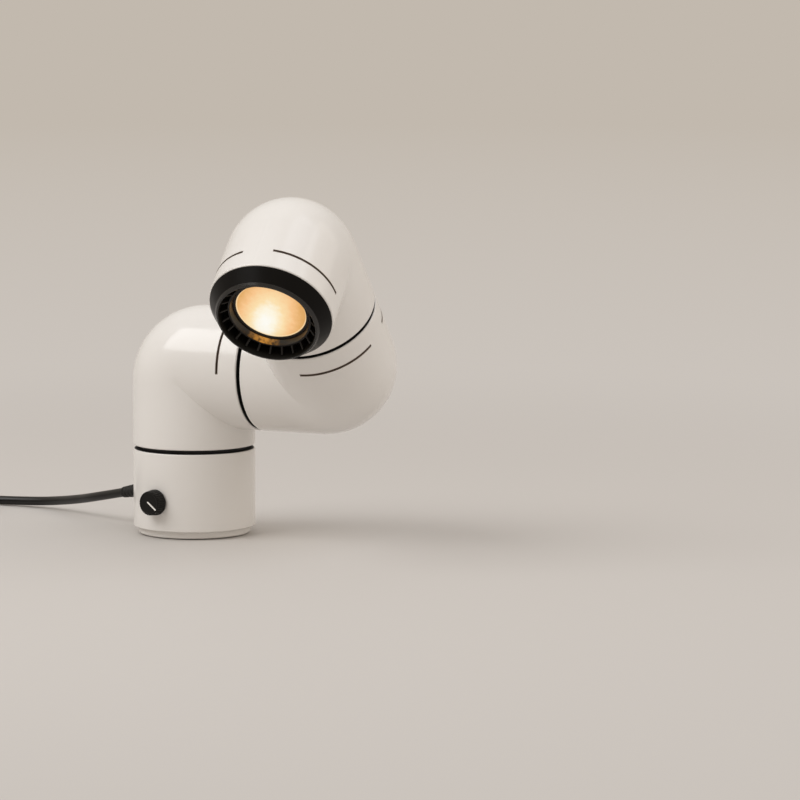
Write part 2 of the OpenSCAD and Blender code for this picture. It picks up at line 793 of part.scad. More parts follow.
// Line from just past the middle of the knob's face almost to its edge
module pointer_shape(gap) {
    rotate([0, 0, pointer_angle])
        translate([-pointer_back - gap, -pointer_w / 2 - gap, knob_face - pointer_t - gap])
            cube([pointer_back + pointer_l + 2 * gap, pointer_w + 2 * gap, pointer_t + gap]);
}

module knob_pointer() {
    color(line_white) radial_frame(knob_az, knob_z) pointer_shape(0);
}

// Swivels

module friction_washer(n) {
    color(plastic_black) joint_frame(n) hollow_span(washer_d / 2, pivot_d / 2 + loose, -groove, -run_gap);
}

module pivot(n) {
    color(zinc_grey) segment_frame(n) difference() {
        union() {
            span(flange_d / 2, lip_t, lip_t + flange_t);
            span(pivot_d / 2, pivot_low, lip_t + cut);
        }
        span(pivot_bore / 2, pivot_low - cut, lip_t + flange_t + cut);
        around(flange_screws, flange_screw_r)
            span(flange_screw_d / 2 + fit, lip_t - cut, lip_t + flange_t + cut);
    }
}

module pivot_screws(n) {
    color(steel_grey) segment_frame(n) around(flange_screws, flange_screw_r)
        translate([0, 0, lip_t + flange_t]) screw(flange_screw_d, flange_t + lip_t - 0.4);
}

// Conical spring washer that presses the segments together
module disc_spring(n) {
    bore = pivot_d / 2 + loose;
    color(steel_grey) joint_frame(n) rotate_extrude() polygon([
        [bore, spring_low + run_gap], [spring_d / 2, lip_under - spring_t],
        [spring_d / 2, lip_under], [bore, spring_low + run_gap + spring_t],
    ]);
}

// Plate that turns with the pivot, with a finger that meets the stop pin at both ends of the travel
module stop_plate(n) {
    finger = 180 - travels[n] / 2 - asin(stop_pin_d / 2 / stop_r) - stop_slack;
    finger_r = stop_r + stop_pin_d / 2;
    color(steel_grey) segment_frame(n) difference() {
        union() {
            span(plate_d / 2, plate_low, spring_low);
            translate([0, 0, plate_low]) rotate([0, 0, -finger]) rotate_extrude(angle = 2 * finger)
                translate([pivot_d / 2 + cut, 0]) square([finger_r - pivot_d / 2 - cut, plate_t]);
        }
        span(pivot_d / 2 + fit, plate_low - cut, spring_low + cut);
    }
}

module pivot_nut(n) {
    color(zinc_grey) segment_frame(n) difference() {
        translate([0, 0, nut_low]) cylinder(d = nut_d, h = nut_t, $fn = 6);
        span(pivot_d / 2 + fit, nut_low - cut, plate_low + cut);
    }
}

module stop_pin_shape(n, gap) {
    rotate([0, 0, stop_dirs[n]]) translate([stop_r, 0, 0])
        span(stop_pin_d / 2 + gap, stop_pin_low, lip_under + stop_seat);
}

module stop_pin(n) {
    color(steel_grey) joint_frame(n) stop_pin_shape(n, 0);
}

// Elbows

// The two straight tubes of an elbow and the round outer corner between them
module elbow_bend(r) {
    translate([bend_r, 0, leg - bend_r]) rotate([-90, 0, 0]) rotate([0, 0, 180]) rotate_extrude(angle = 90)
        intersection() {
            translate([bend_r, 0]) circle(r = r);
            translate([0, -r]) square([bend_r + r, 2 * r]);
        }
}

module elbow_outside() {
    rounded_post(tube_r, leg - bend_r, mouth_edge);
    translate([leg, 0, leg]) rotate([0, -90, 0]) rounded_post(tube_r, leg - bend_r, mouth_edge);
    elbow_bend(tube_r);
}

module elbow_inside(outlet_end) {
    span(inner_r, lip_t, leg - bend_r);
    translate([0, 0, leg]) rotate([0, 90, 0]) span(inner_r, bend_r, outlet_end);
    elbow_bend(inner_r);
}

// Two arc slots through the wall on the outer side of the bend, near the outlet
module vent_slots() {
    for (start = [180 + slot_bridge, 180 - slot_bridge - slot_span])
        translate([leg - slot_setback, 0, leg]) rotate([0, 90, 0]) rotate([0, 0, start])
            rotate_extrude(angle = slot_span)
                translate([inner_r - cut, -slot_w / 2]) square([wall + 2 * cut, slot_w]);
}

module elbow_shell(n, outlet_end) {
    color(shell_white) segment_frame(n) difference() {
        elbow_outside();
        elbow_inside(outlet_end);
        vent_slots();
        span(pivot_d / 2 + fit, -cut, lip_t + cut);
        around(flange_screws, flange_screw_r) span(flange_screw_d / 2 + fit, 0.4, lip_t + cut);
        children();
    }
}

// An elbow that carries another swivel in its outlet
module arm_elbow(n) {
    elbow_shell(n, leg - lip_t) {
        translate([leg + groove, 0, leg]) rotate([0, 90, 0]) {
            span(pivot_d / 2 + run_gap, lip_under - cut, cut);
            stop_pin_shape(n + 1, fit);
        }
    }
}

module head_elbow() {
    elbow_shell(2, leg + cut);
}

// Lamp head

module bezel_ring() {
    color(plastic_black) mouth_frame() rotate_extrude() {
        polygon([
            [ring_out_r, -skirt_h], [skirt_r, -skirt_h], [skirt_r, 0], [bezel_r, 0], [bezel_r, 0.4],
            [snout_r, snout_h - rim_edge], [snout_r - rim_edge, snout_h], [rim_r + rim_edge, snout_h],
            [rim_r, snout_h - rim_edge], [seat_r, seat_z], [ring_out_r, seat_z],
        ]);
    }
}

// Hub with a steep lip round the lamp, thin upright vanes and an outer ring that seats in the bezel
module vane_ring() {
    color(plastic_black) mouth_frame() difference() {
        union() {
            rotate_extrude() polygon([
                [lamp_bore_r, -hub_back], [hub_flange_r, -hub_back], [hub_flange_r, hub_flange_z],
                [hub_r, hub_flange_z], [hub_r, hub_front], [hub_r - hub_flat, hub_front],
                [lamp_bore_r, retainer_t - glass_set],
            ]);
            hollow_span(ring_out_r - fit, vane_r - cut, -vane_back, seat_z);
            around(vanes, 0) translate([0, vane_t / 2, 0]) rotate([90, 0, 0]) linear_extrude(vane_t) polygon([
                [hub_r - cut, -vane_back], [vane_r, -vane_back],
                [vane_r, vane_front], [hub_r - cut, hub_front - 0.4],
            ]);
        }
        for (side = [90, 270]) rotate([0, 0, side]) translate([tab_r, 0, 0])
            span(carrier_screw_d / 2 + fit, -hub_back - cut, -hub_back + carrier_bite + loose);
    }
}

module lamp_retaining_ring() {
    color(plastic_black) mouth_frame()
        hollow_span(retainer_r, lamp_view_d / 2, glass_z, glass_z + retainer_t);
}

module lamp_front_glass() {
    color(glass_warm) mouth_frame() span(lamp_d / 2 - glass_inset, reflector_z, glass_z);
}

// Bell between the rim and the neck, as a curve that widens with the square root of its depth
module lamp_reflector() {
    steps = 12;
    rim_r = lamp_d / 2;
    neck_r = lamp_neck_d / 2;
    bell_z = reflector_z - reflector_rim;
    bell_h = bell_z - neck_z;
    function bell(share, inset) = [
        neck_r - inset + (rim_r - reflector_step - neck_r) * share, neck_z + bell_h * share * share];
    color(zinc_grey) mouth_frame() rotate_extrude() polygon(concat(
        [for (i = [0:steps]) bell(i / steps, 0)],
        [[rim_r, bell_z], [rim_r, reflector_z], [rim_r - reflector_step - reflector_t, reflector_z]],
        [for (i = [steps:-1:0]) bell(i / steps, reflector_t)]));
}

module lamp_capsule() {
    color(glass_warm) mouth_frame() {
        span(capsule_d / 2, neck_z, neck_z + capsule_l - capsule_d / 2);
        translate([0, 0, neck_z + capsule_l - capsule_d / 2]) sphere(d = capsule_d);
    }
}

module contact_places() {
    for (x = [-1, 1]) translate([x * contact_gap / 2, 0, 0]) children();
}

module lamp_base() {
    color(ceramic) mouth_frame() {
        span(lamp_neck_d / 2, base_end_z, neck_z);
        contact_places() span(contact_d / 2 - 1, base_end_z - contact_l + 1, base_end_z + cut);
        contact_places() span(contact_d / 2, base_end_z - contact_l, base_end_z - contact_l + 2);
    }
}

module lamp_holder() {
    color(ceramic) mouth_frame() difference() {
        span(holder_d / 2, holder_z, base_end_z);
        contact_places() span(contact_d / 2 + loose, base_end_z - contact_l - loose, base_end_z + cut);
        for (side = [90, 270]) rotate([0, 0, side]) translate([holder_screw_r, 0, 0])
            span(carrier_screw_d / 2 + fit, holder_z - cut, holder_z + carrier_bite + cut);
    }
}

// Steel strap behind the holder, with two legs that run forward to tabs behind the hub
module holder_bracket() {
    color(steel_grey) mouth_frame() difference() {
        union() {
            translate([-bracket_w / 2, -bracket_r, bracket_z]) cube([bracket_w, 2 * bracket_r, bracket_t]);
            for (side = [90, 270]) rotate([0, 0, side]) {
                translate([bracket_r - bracket_t, -bracket_w / 2, bracket_z])
                    cube([bracket_t, bracket_w, tab_z + bracket_t - bracket_z]);
                translate([bracket_r - bracket_t, -bracket_w / 2, tab_z])
                    cube([hub_flange_r - bracket_r + bracket_t, bracket_w, bracket_t]);
            }
        }
        for (side = [90, 270]) rotate([0, 0, side]) {
            translate([tab_r, 0, 0])
                span(carrier_screw_d / 2 + fit, tab_z - cut, tab_z + bracket_t + cut);
            translate([holder_screw_r, 0, 0])
                span(carrier_screw_d / 2 + fit, bracket_z - cut, holder_z + cut);
        }
    }
}

module carrier_screws() {
    color(steel_grey) mouth_frame() for (side = [90, 270]) rotate([0, 0, side]) {
        translate([tab_r, 0, tab_z]) mirror([0, 0, 1]) screw(carrier_screw_d, bracket_t + carrier_bite);
        translate([holder_screw_r, 0, bracket_z]) mirror([0, 0, 1])
            screw(carrier_screw_d, bracket_t + carrier_bite);
    }
}

base_shell();
bottom_cover();
anti_slip_pad();
cover_screws();
ballast_weight();
dimmer_body();
dimmer_nut();
dimmer_shaft();
dimmer_knob();
knob_pointer();
terminal_block();
cord_clamp();
clamp_screws();
inner_cord();
cord_grommet();
cord_lead();
cord_coil();
cord_end();
cord_tie();
plug_body();
plug_pins();
friction_washer(0);  // base_friction_washer
pivot(0);  // base_pivot
pivot_screws(0);  // base_pivot_screws
disc_spring(0);  // base_disc_spring
stop_plate(0);  // base_stop_plate
pivot_nut(0);  // base_pivot_nut
stop_pin(0);  // base_stop_pin
arm_elbow(0);  // lower_elbow
friction_washer(1);  // arm_friction_washer
pivot(1);  // arm_pivot
pivot_screws(1);  // arm_pivot_screws
disc_spring(1);  // arm_disc_spring
stop_plate(1);  // arm_stop_plate
pivot_nut(1);  // arm_pivot_nut
stop_pin(1);  // arm_stop_pin
arm_elbow(1);  // middle_elbow
friction_washer(2);  // head_friction_washer
pivot(2);  // head_pivot
pivot_screws(2);  // head_pivot_screws
disc_spring(2);  // head_disc_spring
stop_plate(2);  // head_stop_plate
pivot_nut(2);  // head_pivot_nut
stop_pin(2);  // head_stop_pin
head_elbow();
bezel_ring();
vane_ring();
lamp_retaining_ring();
lamp_front_glass();
lamp_reflector();
lamp_capsule();
lamp_base();
lamp_holder();
holder_bracket();
carrier_screws();
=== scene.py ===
"""Looks of a jointed table lamp: a round base, and three white tube elbows that end in a lit reflector lamp.

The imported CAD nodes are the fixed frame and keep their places. Shapes are worked out in millimetres as numpy
grids and put into the meshes in metres. Heights are above the table, and +Y points away from the viewer.
"""

import math

import bmesh
import bpy
import numpy as np
from mathutils import Matrix


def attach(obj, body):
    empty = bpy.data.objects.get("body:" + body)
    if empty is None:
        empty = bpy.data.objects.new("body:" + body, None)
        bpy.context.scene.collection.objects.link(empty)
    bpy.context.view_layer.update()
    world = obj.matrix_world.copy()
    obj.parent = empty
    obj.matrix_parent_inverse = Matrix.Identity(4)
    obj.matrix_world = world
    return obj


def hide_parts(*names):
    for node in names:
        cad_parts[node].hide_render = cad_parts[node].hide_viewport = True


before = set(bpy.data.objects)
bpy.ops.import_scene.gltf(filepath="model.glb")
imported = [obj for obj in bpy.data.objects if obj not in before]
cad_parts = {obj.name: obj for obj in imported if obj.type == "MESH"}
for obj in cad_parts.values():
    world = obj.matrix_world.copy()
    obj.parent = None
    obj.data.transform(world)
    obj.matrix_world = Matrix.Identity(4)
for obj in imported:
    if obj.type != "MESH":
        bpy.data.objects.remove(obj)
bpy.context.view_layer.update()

MM = 0.001
TAU = 2 * math.pi

# Sizes that the part's source gives, in millimetres and degrees
TUBE_R = 42
INNER_R = 39.5
LEG = 54.1
GROOVE = 2.8
WASHER_R = 36
BASE_H = 58.9
BASE_TURN = -26.4
ARM_TURN = 39.3
HEAD_TURN = -83.5
KNOB_AZ = -126.6
KNOB_Z = 25.5
CORD_AZ = 141.3
CORD_R = 3.15
GROMMET_FACE = 44.5
SLOT_W = 1.4
SLOT_SETBACK = 14.5
SLOT_SPAN = 75
SLOT_BRIDGE = 15


# Frames

def shift(x, y, z):
    """The 4 by 4 matrix of a move."""
    matrix = np.eye(4)
    matrix[:3, 3] = (x, y, z)
    return matrix


def turn(axis, degrees):
    """The 4 by 4 matrix of a turn about the x (0), y (1) or z (2) axis."""
    angle = math.radians(degrees)
    first, second = [(1, 2), (2, 0), (0, 1)][axis]
    matrix = np.eye(4)
    matrix[first, first] = matrix[second, second] = math.cos(angle)
    matrix[first, second] = -math.sin(angle)
    matrix[second, first] = math.sin(angle)
    return matrix


def radial(azimuth, height):
    """A frame whose Z axis runs out of the base at that azimuth and height, with X pointing down."""
    return turn(2, azimuth) @ shift(0, 0, height) @ turn(1, 90)


to_outlet = shift(LEG + GROOVE, 0, LEG) @ turn(1, 90)
lower_frame = shift(0, 0, BASE_H + GROOVE) @ turn(2, BASE_TURN)
middle_frame = lower_frame @ to_outlet @ turn(2, 180 + ARM_TURN)
head_frame = middle_frame @ to_outlet @ turn(2, 180 + HEAD_TURN)
mouth_frame = head_frame @ shift(LEG, 0, LEG) @ turn(1, 90)


# Camera

SENSOR = 36


def look(eye, yaw, pitch, lens):
    """A camera at eye, in millimetres, turned yaw degrees to the right of +Y and pitch degrees down."""
    data = bpy.data.cameras.new("view")
    data.lens = lens
    data.sensor_width = SENSOR
    data.clip_start = 0.05
    data.clip_end = 200
    camera = bpy.data.objects.new("view", data)
    bpy.context.collection.objects.link(camera)
    placed = shift(*(np.array(eye) * MM)) @ turn(2, -yaw) @ turn(0, 90 - pitch)
    camera.matrix_world = Matrix(placed.tolist())
    bpy.context.scene.camera = camera


look(eye=(97.254, -3121.367, 456.839), yaw=0.815, pitch=6.676, lens=205.53)


# Shapes

# A point on the flat side follows each arc, this share of its radius away but within this share of the side
BESIDE_ARC = 0.25
ALONG_SIDE = 0.45
# Points nearer than the first value become one, and edges shorter than the second go, in metres
SAME_POINT = 2e-7
NO_EDGE = 1e-7


def grid_faces(rows, columns, closed):
    """Quads between neighbours of a grid stored row by row.

    Columns always join round, and rows do if closed.
    """
    row = np.arange(rows if closed else rows - 1)[:, None]
    column = np.arange(columns)[None, :]
    beside = (column + 1) % columns
    above = (row + 1) % rows
    quads = (
        row * columns + column,
        row * columns + beside,
        above * columns + beside,
        above * columns + column,
    )
    return np.stack(np.broadcast_arrays(*quads), -1).reshape(-1, 4)


def rounded(corners, radii, steps=5):
    """A closed profile with arcs for corners: an arc's middle is r / sin(half the angle) along the bisector.

    Two more points beside each arc keep the shading of the flat sides flat.
    """
    corner = np.array(corners, float)
    radius = np.broadcast_to(np.array(radii, float), len(corner))[:, None]
    back = np.roll(corner, 1, 0) - corner
    ahead = np.roll(corner, -1, 0) - corner
    back_length = np.linalg.norm(back, axis=1, keepdims=True)
    ahead_length = np.linalg.norm(ahead, axis=1, keepdims=True)
    back = back / back_length
    ahead = ahead / ahead_length
    half = np.arccos(np.clip((back * ahead).sum(1, keepdims=True), -1, 1)) / 2
    reach = radius / np.tan(half)
    bisector = back + ahead
    middle = corner + bisector / np.linalg.norm(bisector, axis=1, keepdims=True) * radius / np.sin(half)
    side = np.sign(back[:, 0] * ahead[:, 1] - back[:, 1] * ahead[:, 0])[:, None]
    sweep = -side * (math.pi - 2 * half) * np.linspace(0, 1, steps + 1)[None, :]
    arm = corner + back * reach - middle
    arc_x = middle[:, :1] + arm[:, :1] * np.cos(sweep) - arm[:, 1:] * np.sin(sweep)
    arc_y = middle[:, 1:] + arm[:, :1] * np.sin(sweep) + arm[:, 1:] * np.cos(sweep)
    arcs = np.stack([arc_x, arc_y], -1)
    beyond = reach + BESIDE_ARC * radius
    before = corner + back * np.maximum(reach, np.minimum(beyond, ALONG_SIDE * back_length))
    after = corner + ahead * np.maximum(reach, np.minimum(beyond, ALONG_SIDE * ahead_length))
    return np.concatenate([before[:, None], arcs, after[:, None]], 1).reshape(-1, 2)


def lathe(profile, columns=144):
    """A profile of (radius, height) points turned about Z: (r cos a, r sin a, z)."""
    around = np.linspace(0, TAU, columns, endpoint=False)
    radius = profile[:, :1]
    height = profile[:, 1:]
    return np.stack([radius * np.cos(around), radius * np.sin(around), height + 0 * around], -1)


def rings(middle, ahead, radius, sides):
    """Circles round points: middle + r (side cos a + rise sin a).

    side is level, and rise is square to it and to the way ahead.
    """
    ahead = ahead / np.linalg.norm(ahead, axis=1, keepdims=True)
    side = np.cross(ahead, (0, 0, 1))
    side = side / np.linalg.norm(side, axis=1, keepdims=True)
    rise = np.cross(ahead, side)
    around = np.linspace(0, TAU, sides, endpoint=False)[None, :, None]
    reach = np.broadcast_to(radius, len(middle))[:, None, None]
    return middle[:, None] + reach * (side[:, None] * np.cos(around) + rise[:, None] * np.sin(around))


def carried(line, radius, sides=16):
    """A round section carried along a line, square to the line at each of its points."""
    return rings(line, np.gradient(line, axis=0), radius, sides)


def capped(grid):
    """The grid with its first and last rows drawn together in their middles, which closes both ends."""
    first = np.broadcast_to(grid[:1].mean(1, keepdims=True), grid[:1].shape)
    last = np.broadcast_to(grid[-1:].mean(1, keepdims=True), grid[-1:].shape)
    return np.concatenate([first, grid, last])


def smooth(route, steps):
    """Points on the uniform Catmull-Rom curve through a route, with a number of steps between its points.

    Each stretch runs from b to c, and a and d are the points before and after it.
    """
    route = np.array(route, float)
    padded = np.concatenate([2 * route[:1] - route[1:2], route, 2 * route[-1:] - route[-2:-1]])
    a, b, c, d = (padded[i:len(padded) - 3 + i, None] for i in range(4))
    t = np.arange(steps)[None, :, None] / steps
    points = 0.5 * (
        2 * b + (c - a) * t
        + (2 * a - 5 * b + 4 * c - d) * t ** 2
        + (3 * b - a - 3 * c + d) * t ** 3)
    return np.concatenate([points.reshape(-1, 3), route[-1:]])


def put(name, grids, material, body, place=np.eye(4), closed=True, sharp=40):
    """A piece made of one or more grids, in millimetres, that rides on a body and takes a slot's finish.

    Edges that turn by more than sharp degrees keep a hard shade.
    """
    points = []
    faces = []
    count = 0
    for grid in grids:
        rows, columns = grid.shape[:2]
        points.append(grid.reshape(-1, 3))
        faces.append(grid_faces(rows, columns, closed) + count)
        count += rows * columns
    points = np.concatenate(points) @ place[:3, :3].T + place[:3, 3]
    mesh = bpy.data.meshes.new(name)
    mesh.from_pydata((points * MM).tolist(), [], np.concatenate(faces).tolist())
    cleaned = bmesh.new()
    cleaned.from_mesh(mesh)
    bmesh.ops.remove_doubles(cleaned, verts=cleaned.verts, dist=SAME_POINT)
    bmesh.ops.dissolve_degenerate(cleaned, edges=cleaned.edges, dist=NO_EDGE)
    cleaned.to_mesh(mesh)
    cleaned.free()
    mesh.polygons.foreach_set("use_smooth", np.ones(len(mesh.polygons), bool))
    mesh.set_sharp_from_angle(angle=math.radians(sharp))
    mesh.materials.append(material)
    made = bpy.data.objects.new(name, mesh)
    bpy.context.collection.objects.link(made)
    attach(made, body)
    return made


# Materials

# A colour mix node's sockets, which share their names with its other kinds
MIX_SHARE = 0
MIX_FIRST = 6
MIX_SECOND = 7
MIX_RESULT = 2
# Where nearly all of a noise's values lie
NOISE_LOW = 0.3
NOISE_HIGH = 0.7


def linear(hex_colour):
    """An sRGB hex colour as linear red, green, blue and alpha, by the sRGB standard's curve."""
    srgb = np.array([int(hex_colour[i:i + 2], 16) for i in (1, 3, 5)]) / 255
    low = srgb / 12.92
    high = ((srgb + 0.055) / 1.055) ** 2.4
    return (*np.where(srgb <= 0.04045, low, high).tolist(), 1)


def add(tree, kind, inputs, **settings):
    """Adds a node, sets its properties, and gives each input a link if it gets a socket, or else a value."""
    made = tree.nodes.new(kind)
    for key, value in settings.items():
        setattr(made, key, value)
    for key, value in inputs.items():
        if isinstance(value, bpy.types.NodeSocket):
            tree.links.new(value, made.inputs[key])
        else:
            made.inputs[key].default_value = value
    return made


def begin(name):
    """A new material, its emptied node tree, and the Object coordinates in it."""
    material = bpy.data.materials.new(name)
    material.use_nodes = True
    tree = material.node_tree
    tree.nodes.clear()
    where = add(tree, "ShaderNodeTexCoord", {}).outputs["Object"]
    return material, tree, where


def moulded(name, pale, deep, patch_mm, grain_mm, roughness, spread, bump_mm, **sockets):
    """A moulded finish: one noise drifts the shade and the roughness, and another gives a fine grain.

    The shade drifts between two colours and the roughness by spread either way, over patches of patch_mm.
    The grain is grain_mm wide and stands bump_mm high.
    """
    material, tree, where = begin(name)
    patch = add(tree, "ShaderNodeTexNoise", {"Vector": where, "Scale": 1 / (patch_mm * MM), "Detail": 3})
    grain = add(tree, "ShaderNodeTexNoise", {"Vector": where, "Scale": 1 / (grain_mm * MM), "Detail": 2})
    shade = add(tree, "ShaderNodeMix", {
        MIX_SHARE: patch.outputs["Fac"], MIX_FIRST: linear(deep), MIX_SECOND: linear(pale)}, data_type="RGBA")
    rough = add(tree, "ShaderNodeMapRange", {
        "Value": patch.outputs["Fac"], "From Min": NOISE_LOW, "From Max": NOISE_HIGH,
        "To Min": roughness - spread, "To Max": roughness + spread})
    relief = add(tree, "ShaderNodeBump", {
        "Height": grain.outputs["Fac"], "Distance": bump_mm * MM, "Strength": 1})
    shader = add(tree, "ShaderNodeBsdfPrincipled", {
        "Base Color": shade.outputs[MIX_RESULT], "Roughness": rough.outputs["Result"],
        "Normal": relief.outputs["Normal"], **sockets})
    add(tree, "ShaderNodeOutputMaterial", {"Surface": shader.outputs["BSDF"]})
    return material


# Glossy white ABS of the shells: moulded in a polished tool, so it mirrors softly, with a trace of flow in it
white_abs = moulded("white_abs_moulded", "#e8e6e3", "#e4e1dd", patch_mm=45, grain_mm=1.6,
                    roughness=0.16, spread=0.03, bump_mm=0.004, IOR=1.52)
# Black PBT of the bezel and the cord's clamp: moulded in a lightly sparked tool, so satin with a fine grain
black_pbt = moulded("black_pbt_moulded", "#0f0d0a", "#0a0807", patch_mm=12, grain_mm=0.5,
                    roughness=0.36, spread=0.05, bump_mm=0.012, IOR=1.21)
# Black PBT of the vanes, their hub and the lamp's retainer: the same resin, in a lighter and warmer shade than
# the bezel's
vane_pbt = moulded("black_pbt_lighter", "#1c1815", "#13100e", patch_mm=5, grain_mm=0.5,
                   roughness=0.36, spread=0.05, bump_mm=0.012, IOR=1.34)
# Black PBT of the band over the bezel's rim: the same resin, glossier so it catches the highlight along the
# rim, and a little lighter than the bezel, which paints part of that highlight
rim_highlight_pbt = moulded("black_pbt_rim_highlight", "#1d1a17", "#141210", patch_mm=6, grain_mm=0.5,
                     roughness=0.24, spread=0.05, bump_mm=0.004, IOR=1.5)
# Brown PBT of the slots' linings and their lips: darker than the shells as a painted shade in the slots, and
# dull
slot_shade_pbt = moulded("brown_pbt_slot_shade", "#7c6e62", "#63574d", patch_mm=6, grain_mm=0.5,
                     roughness=0.5, spread=0.06, bump_mm=0.01, IOR=1.5)
# Black ABS of the knob and the sleeves of the plug's pins: sparked more coarsely, so duller than the bezel
knob_abs = moulded("black_abs_sparked", "#110f0d", "#0b0a08", patch_mm=4, grain_mm=0.45,
                   roughness=0.4, spread=0.06, bump_mm=0.03, IOR=1.29)
# Black nylon of the friction washers, also laid as black faces in the grooves beside them, which paint the
# grooves' shade: matt and slightly worn where it rubs
washer_nylon_and_groove_shade = moulded("black_nylon_worn_and_groove_shade", "#161514", "#0f0e0e", patch_mm=6, grain_mm=0.6,
                       roughness=0.55, spread=0.08, bump_mm=0.01, IOR=1.53)
# Black PVC of the cord and the plug moulded on it: its skin is smooth and a little oily in its sheen
cord_pvc = moulded("black_pvc_extruded", "#191715", "#11100f", patch_mm=25, grain_mm=0.8,
                   roughness=0.36, spread=0.05, bump_mm=0.02, IOR=1.42)
# Black rubber of the foot's pad, the strain relief and the tie: pressed, dull, with a fine grain
black_rubber = moulded("black_rubber_pressed", "#181715", "#11100f", patch_mm=8, grain_mm=0.7,
                       roughness=0.55, spread=0.07, bump_mm=0.03, IOR=1.42)
# White paint in the knob's line: filled in and wiped, so it is matt and a little uneven
line_paint = moulded("white_paint_filled", "#f4f3ef", "#e9e7e1", patch_mm=2, grain_mm=0.4,
                     roughness=0.45, spread=0.06, bump_mm=0.01, IOR=1.5)
# Zinc plated steel of the springs, stops, screws and bracket: a thin bluish coat with a fine grain
zinc_steel = moulded("steel_zinc_plated", "#c2c4c6", "#a6a9ac", patch_mm=5, grain_mm=0.3,
                     roughness=0.32, spread=0.06, bump_mm=0.006, Metallic=1)
# Nickel plated brass of the pivots, their nuts and the dimmer: bright, with small drifts from handling
nickel_brass = moulded("brass_nickel_plated", "#cfc9be", "#b9b3a8", patch_mm=6, grain_mm=0.4,
                       roughness=0.24, spread=0.05, bump_mm=0.004, Metallic=1)
# Nickel plated brass of the plug's pins: drawn and plated, so it is brighter still
pin_brass = moulded("brass_pins_plated", "#d2ccc0", "#bdb6a9", patch_mm=4, grain_mm=0.3,
                    roughness=0.22, spread=0.05, bump_mm=0.004, Metallic=1)
# Cast iron of the ballast weight: sand cast, with a coarse grain under thin grey paint
cast_iron = moulded("cast_iron_painted", "#5d5f61", "#494b4d", patch_mm=10, grain_mm=1.4,
                    roughness=0.6, spread=0.1, bump_mm=0.15, Metallic=0.4)
# Steatite of the lamp holder, lamp base and terminal block: pressed and fired, cream and eggshell
steatite = moulded("ceramic_steatite", "#ece5d6", "#dfd7c6", patch_mm=7, grain_mm=0.5,
                   roughness=0.5, spread=0.06, bump_mm=0.02, IOR=1.6)
# Aluminised glass of the reflector and the capsule in it: a thin bright mirror
mirror_glass = moulded("glass_aluminised", "#e2e0dc", "#d4d2ce", patch_mm=5, grain_mm=1.5,
                       roughness=0.12, spread=0.03, bump_mm=0.02, Metallic=1)


# Cord and what is on it

COIL_MIDDLE = np.array([-205, 93, 0])
COIL_LOW = 4.55
COIL_PITCH = 6.8
COIL_INNER_R = 28.25
COIL_TURNS = 3.125
COIL_POINTS = 226
ROUTE_STEPS = 8
PLUG_Z = 6.85
PLUG_APART = 58

cord_angle = math.radians(CORD_AZ)
cord_out = np.array([math.cos(cord_angle), math.sin(cord_angle), 0])
cord_exit = GROMMET_FACE * cord_out + (0, 0, KNOB_Z)


def coil_line(turns):
    """The coil's centreline: a spiral in, a climb of half a turn to the upper layer, and the spiral out."""
    from_middle = turns - COIL_TURNS
    radius = COIL_INNER_R + COIL_PITCH * np.abs(from_middle)
    climb = (1 + np.sin(math.pi * np.clip(2 * from_middle, -0.5, 0.5))) / 2
    angle = math.pi / 2 + TAU * turns
    return COIL_MIDDLE + np.stack([
        radius * np.cos(angle), radius * np.sin(angle), COIL_LOW + COIL_PITCH * climb], -1)


coil = coil_line(np.linspace(0, 2 * COIL_TURNS, COIL_POINTS))
coil_start, coil_end = coil[0], coil[-1]
lead = smooth([
    cord_exit,
    cord_exit + 8 * cord_out - (0, 0, 0.8),
    (-69, 62, 16.5),
    (-84, 84, 11.5),
    (-100, 107, 7.2),
    (-116, 122, 4.8),
    (-144, 136, 3.6),
    (-172, 141.5, COIL_LOW - 0.2),
    coil_start + (2 * CORD_R, 0, 0),
], ROUTE_STEPS)
plug_back = coil_end[1] - 2 * CORD_R - PLUG_APART
tail = smooth([
    coil_end - (0, 2 * CORD_R, 0),
    coil_end - (0, 2 * CORD_R + 12, 0.6),
    (coil_end[0], coil_end[1] - 40, PLUG_Z + 0.6),
    (coil_end[0], plug_back + 8, PLUG_Z),
    (coil_end[0], plug_back, PLUG_Z),
], ROUTE_STEPS)
cord_line = np.concatenate([lead, coil, tail])
cord = put("mains_cord", [capped(carried(cord_line, CORD_R))], cord_pvc, "base",
           closed=False, sharp=60)
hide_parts("cord_lead", "cord_coil", "cord_end")

# Rubber strap round the coil: a flat band along a rounded rectangle
TIE_DIR = 290
TIE_R = 38.45
TIE_W = 9
TIE_T = 0.8
TIE_CORNER = 2.9
TIE_EDGE = 0.9
TIE_INSIDE = np.array([22.04, 14.3])


def strap(loop, width, thickness):
    """A flat band round a closed loop: its section at each point, along the normal and across the loop.

    The section's edges are rounded by the share TIE_EDGE of half its thickness.
    """
    along = np.roll(loop, -1, 0) - np.roll(loop, 1, 0)
    normal = np.stack([along[:, 1], -along[:, 0]], -1)
    normal = normal / np.linalg.norm(normal, axis=1, keepdims=True)
    edge = thickness / 2
    side = width / 2
    section = rounded([(-edge, -side), (edge, -side), (edge, side), (-edge, side)], TIE_EDGE * edge, 4)
    flat = loop[:, None] + normal[:, None] * section[None, :, :1]
    across = np.broadcast_to(section[None, :, 1:], flat.shape[:2] + (1,))
    return np.concatenate([flat[..., :1], across, flat[..., 1:]], -1)


square = np.array([(-1, -1), (1, -1), (1, 1), (-1, 1)])
tie_loop = rounded(square * (TIE_INSIDE / 2 + TIE_T / 2), TIE_CORNER, 8)
tie_frame = shift(*COIL_MIDDLE) @ turn(2, TIE_DIR) @ shift(TIE_R, 0, COIL_LOW + COIL_PITCH / 2)
tie = put("cord_tie_strap", [strap(tie_loop, TIE_W, TIE_T)], black_rubber, "base", tie_frame)
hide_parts("cord_tie")

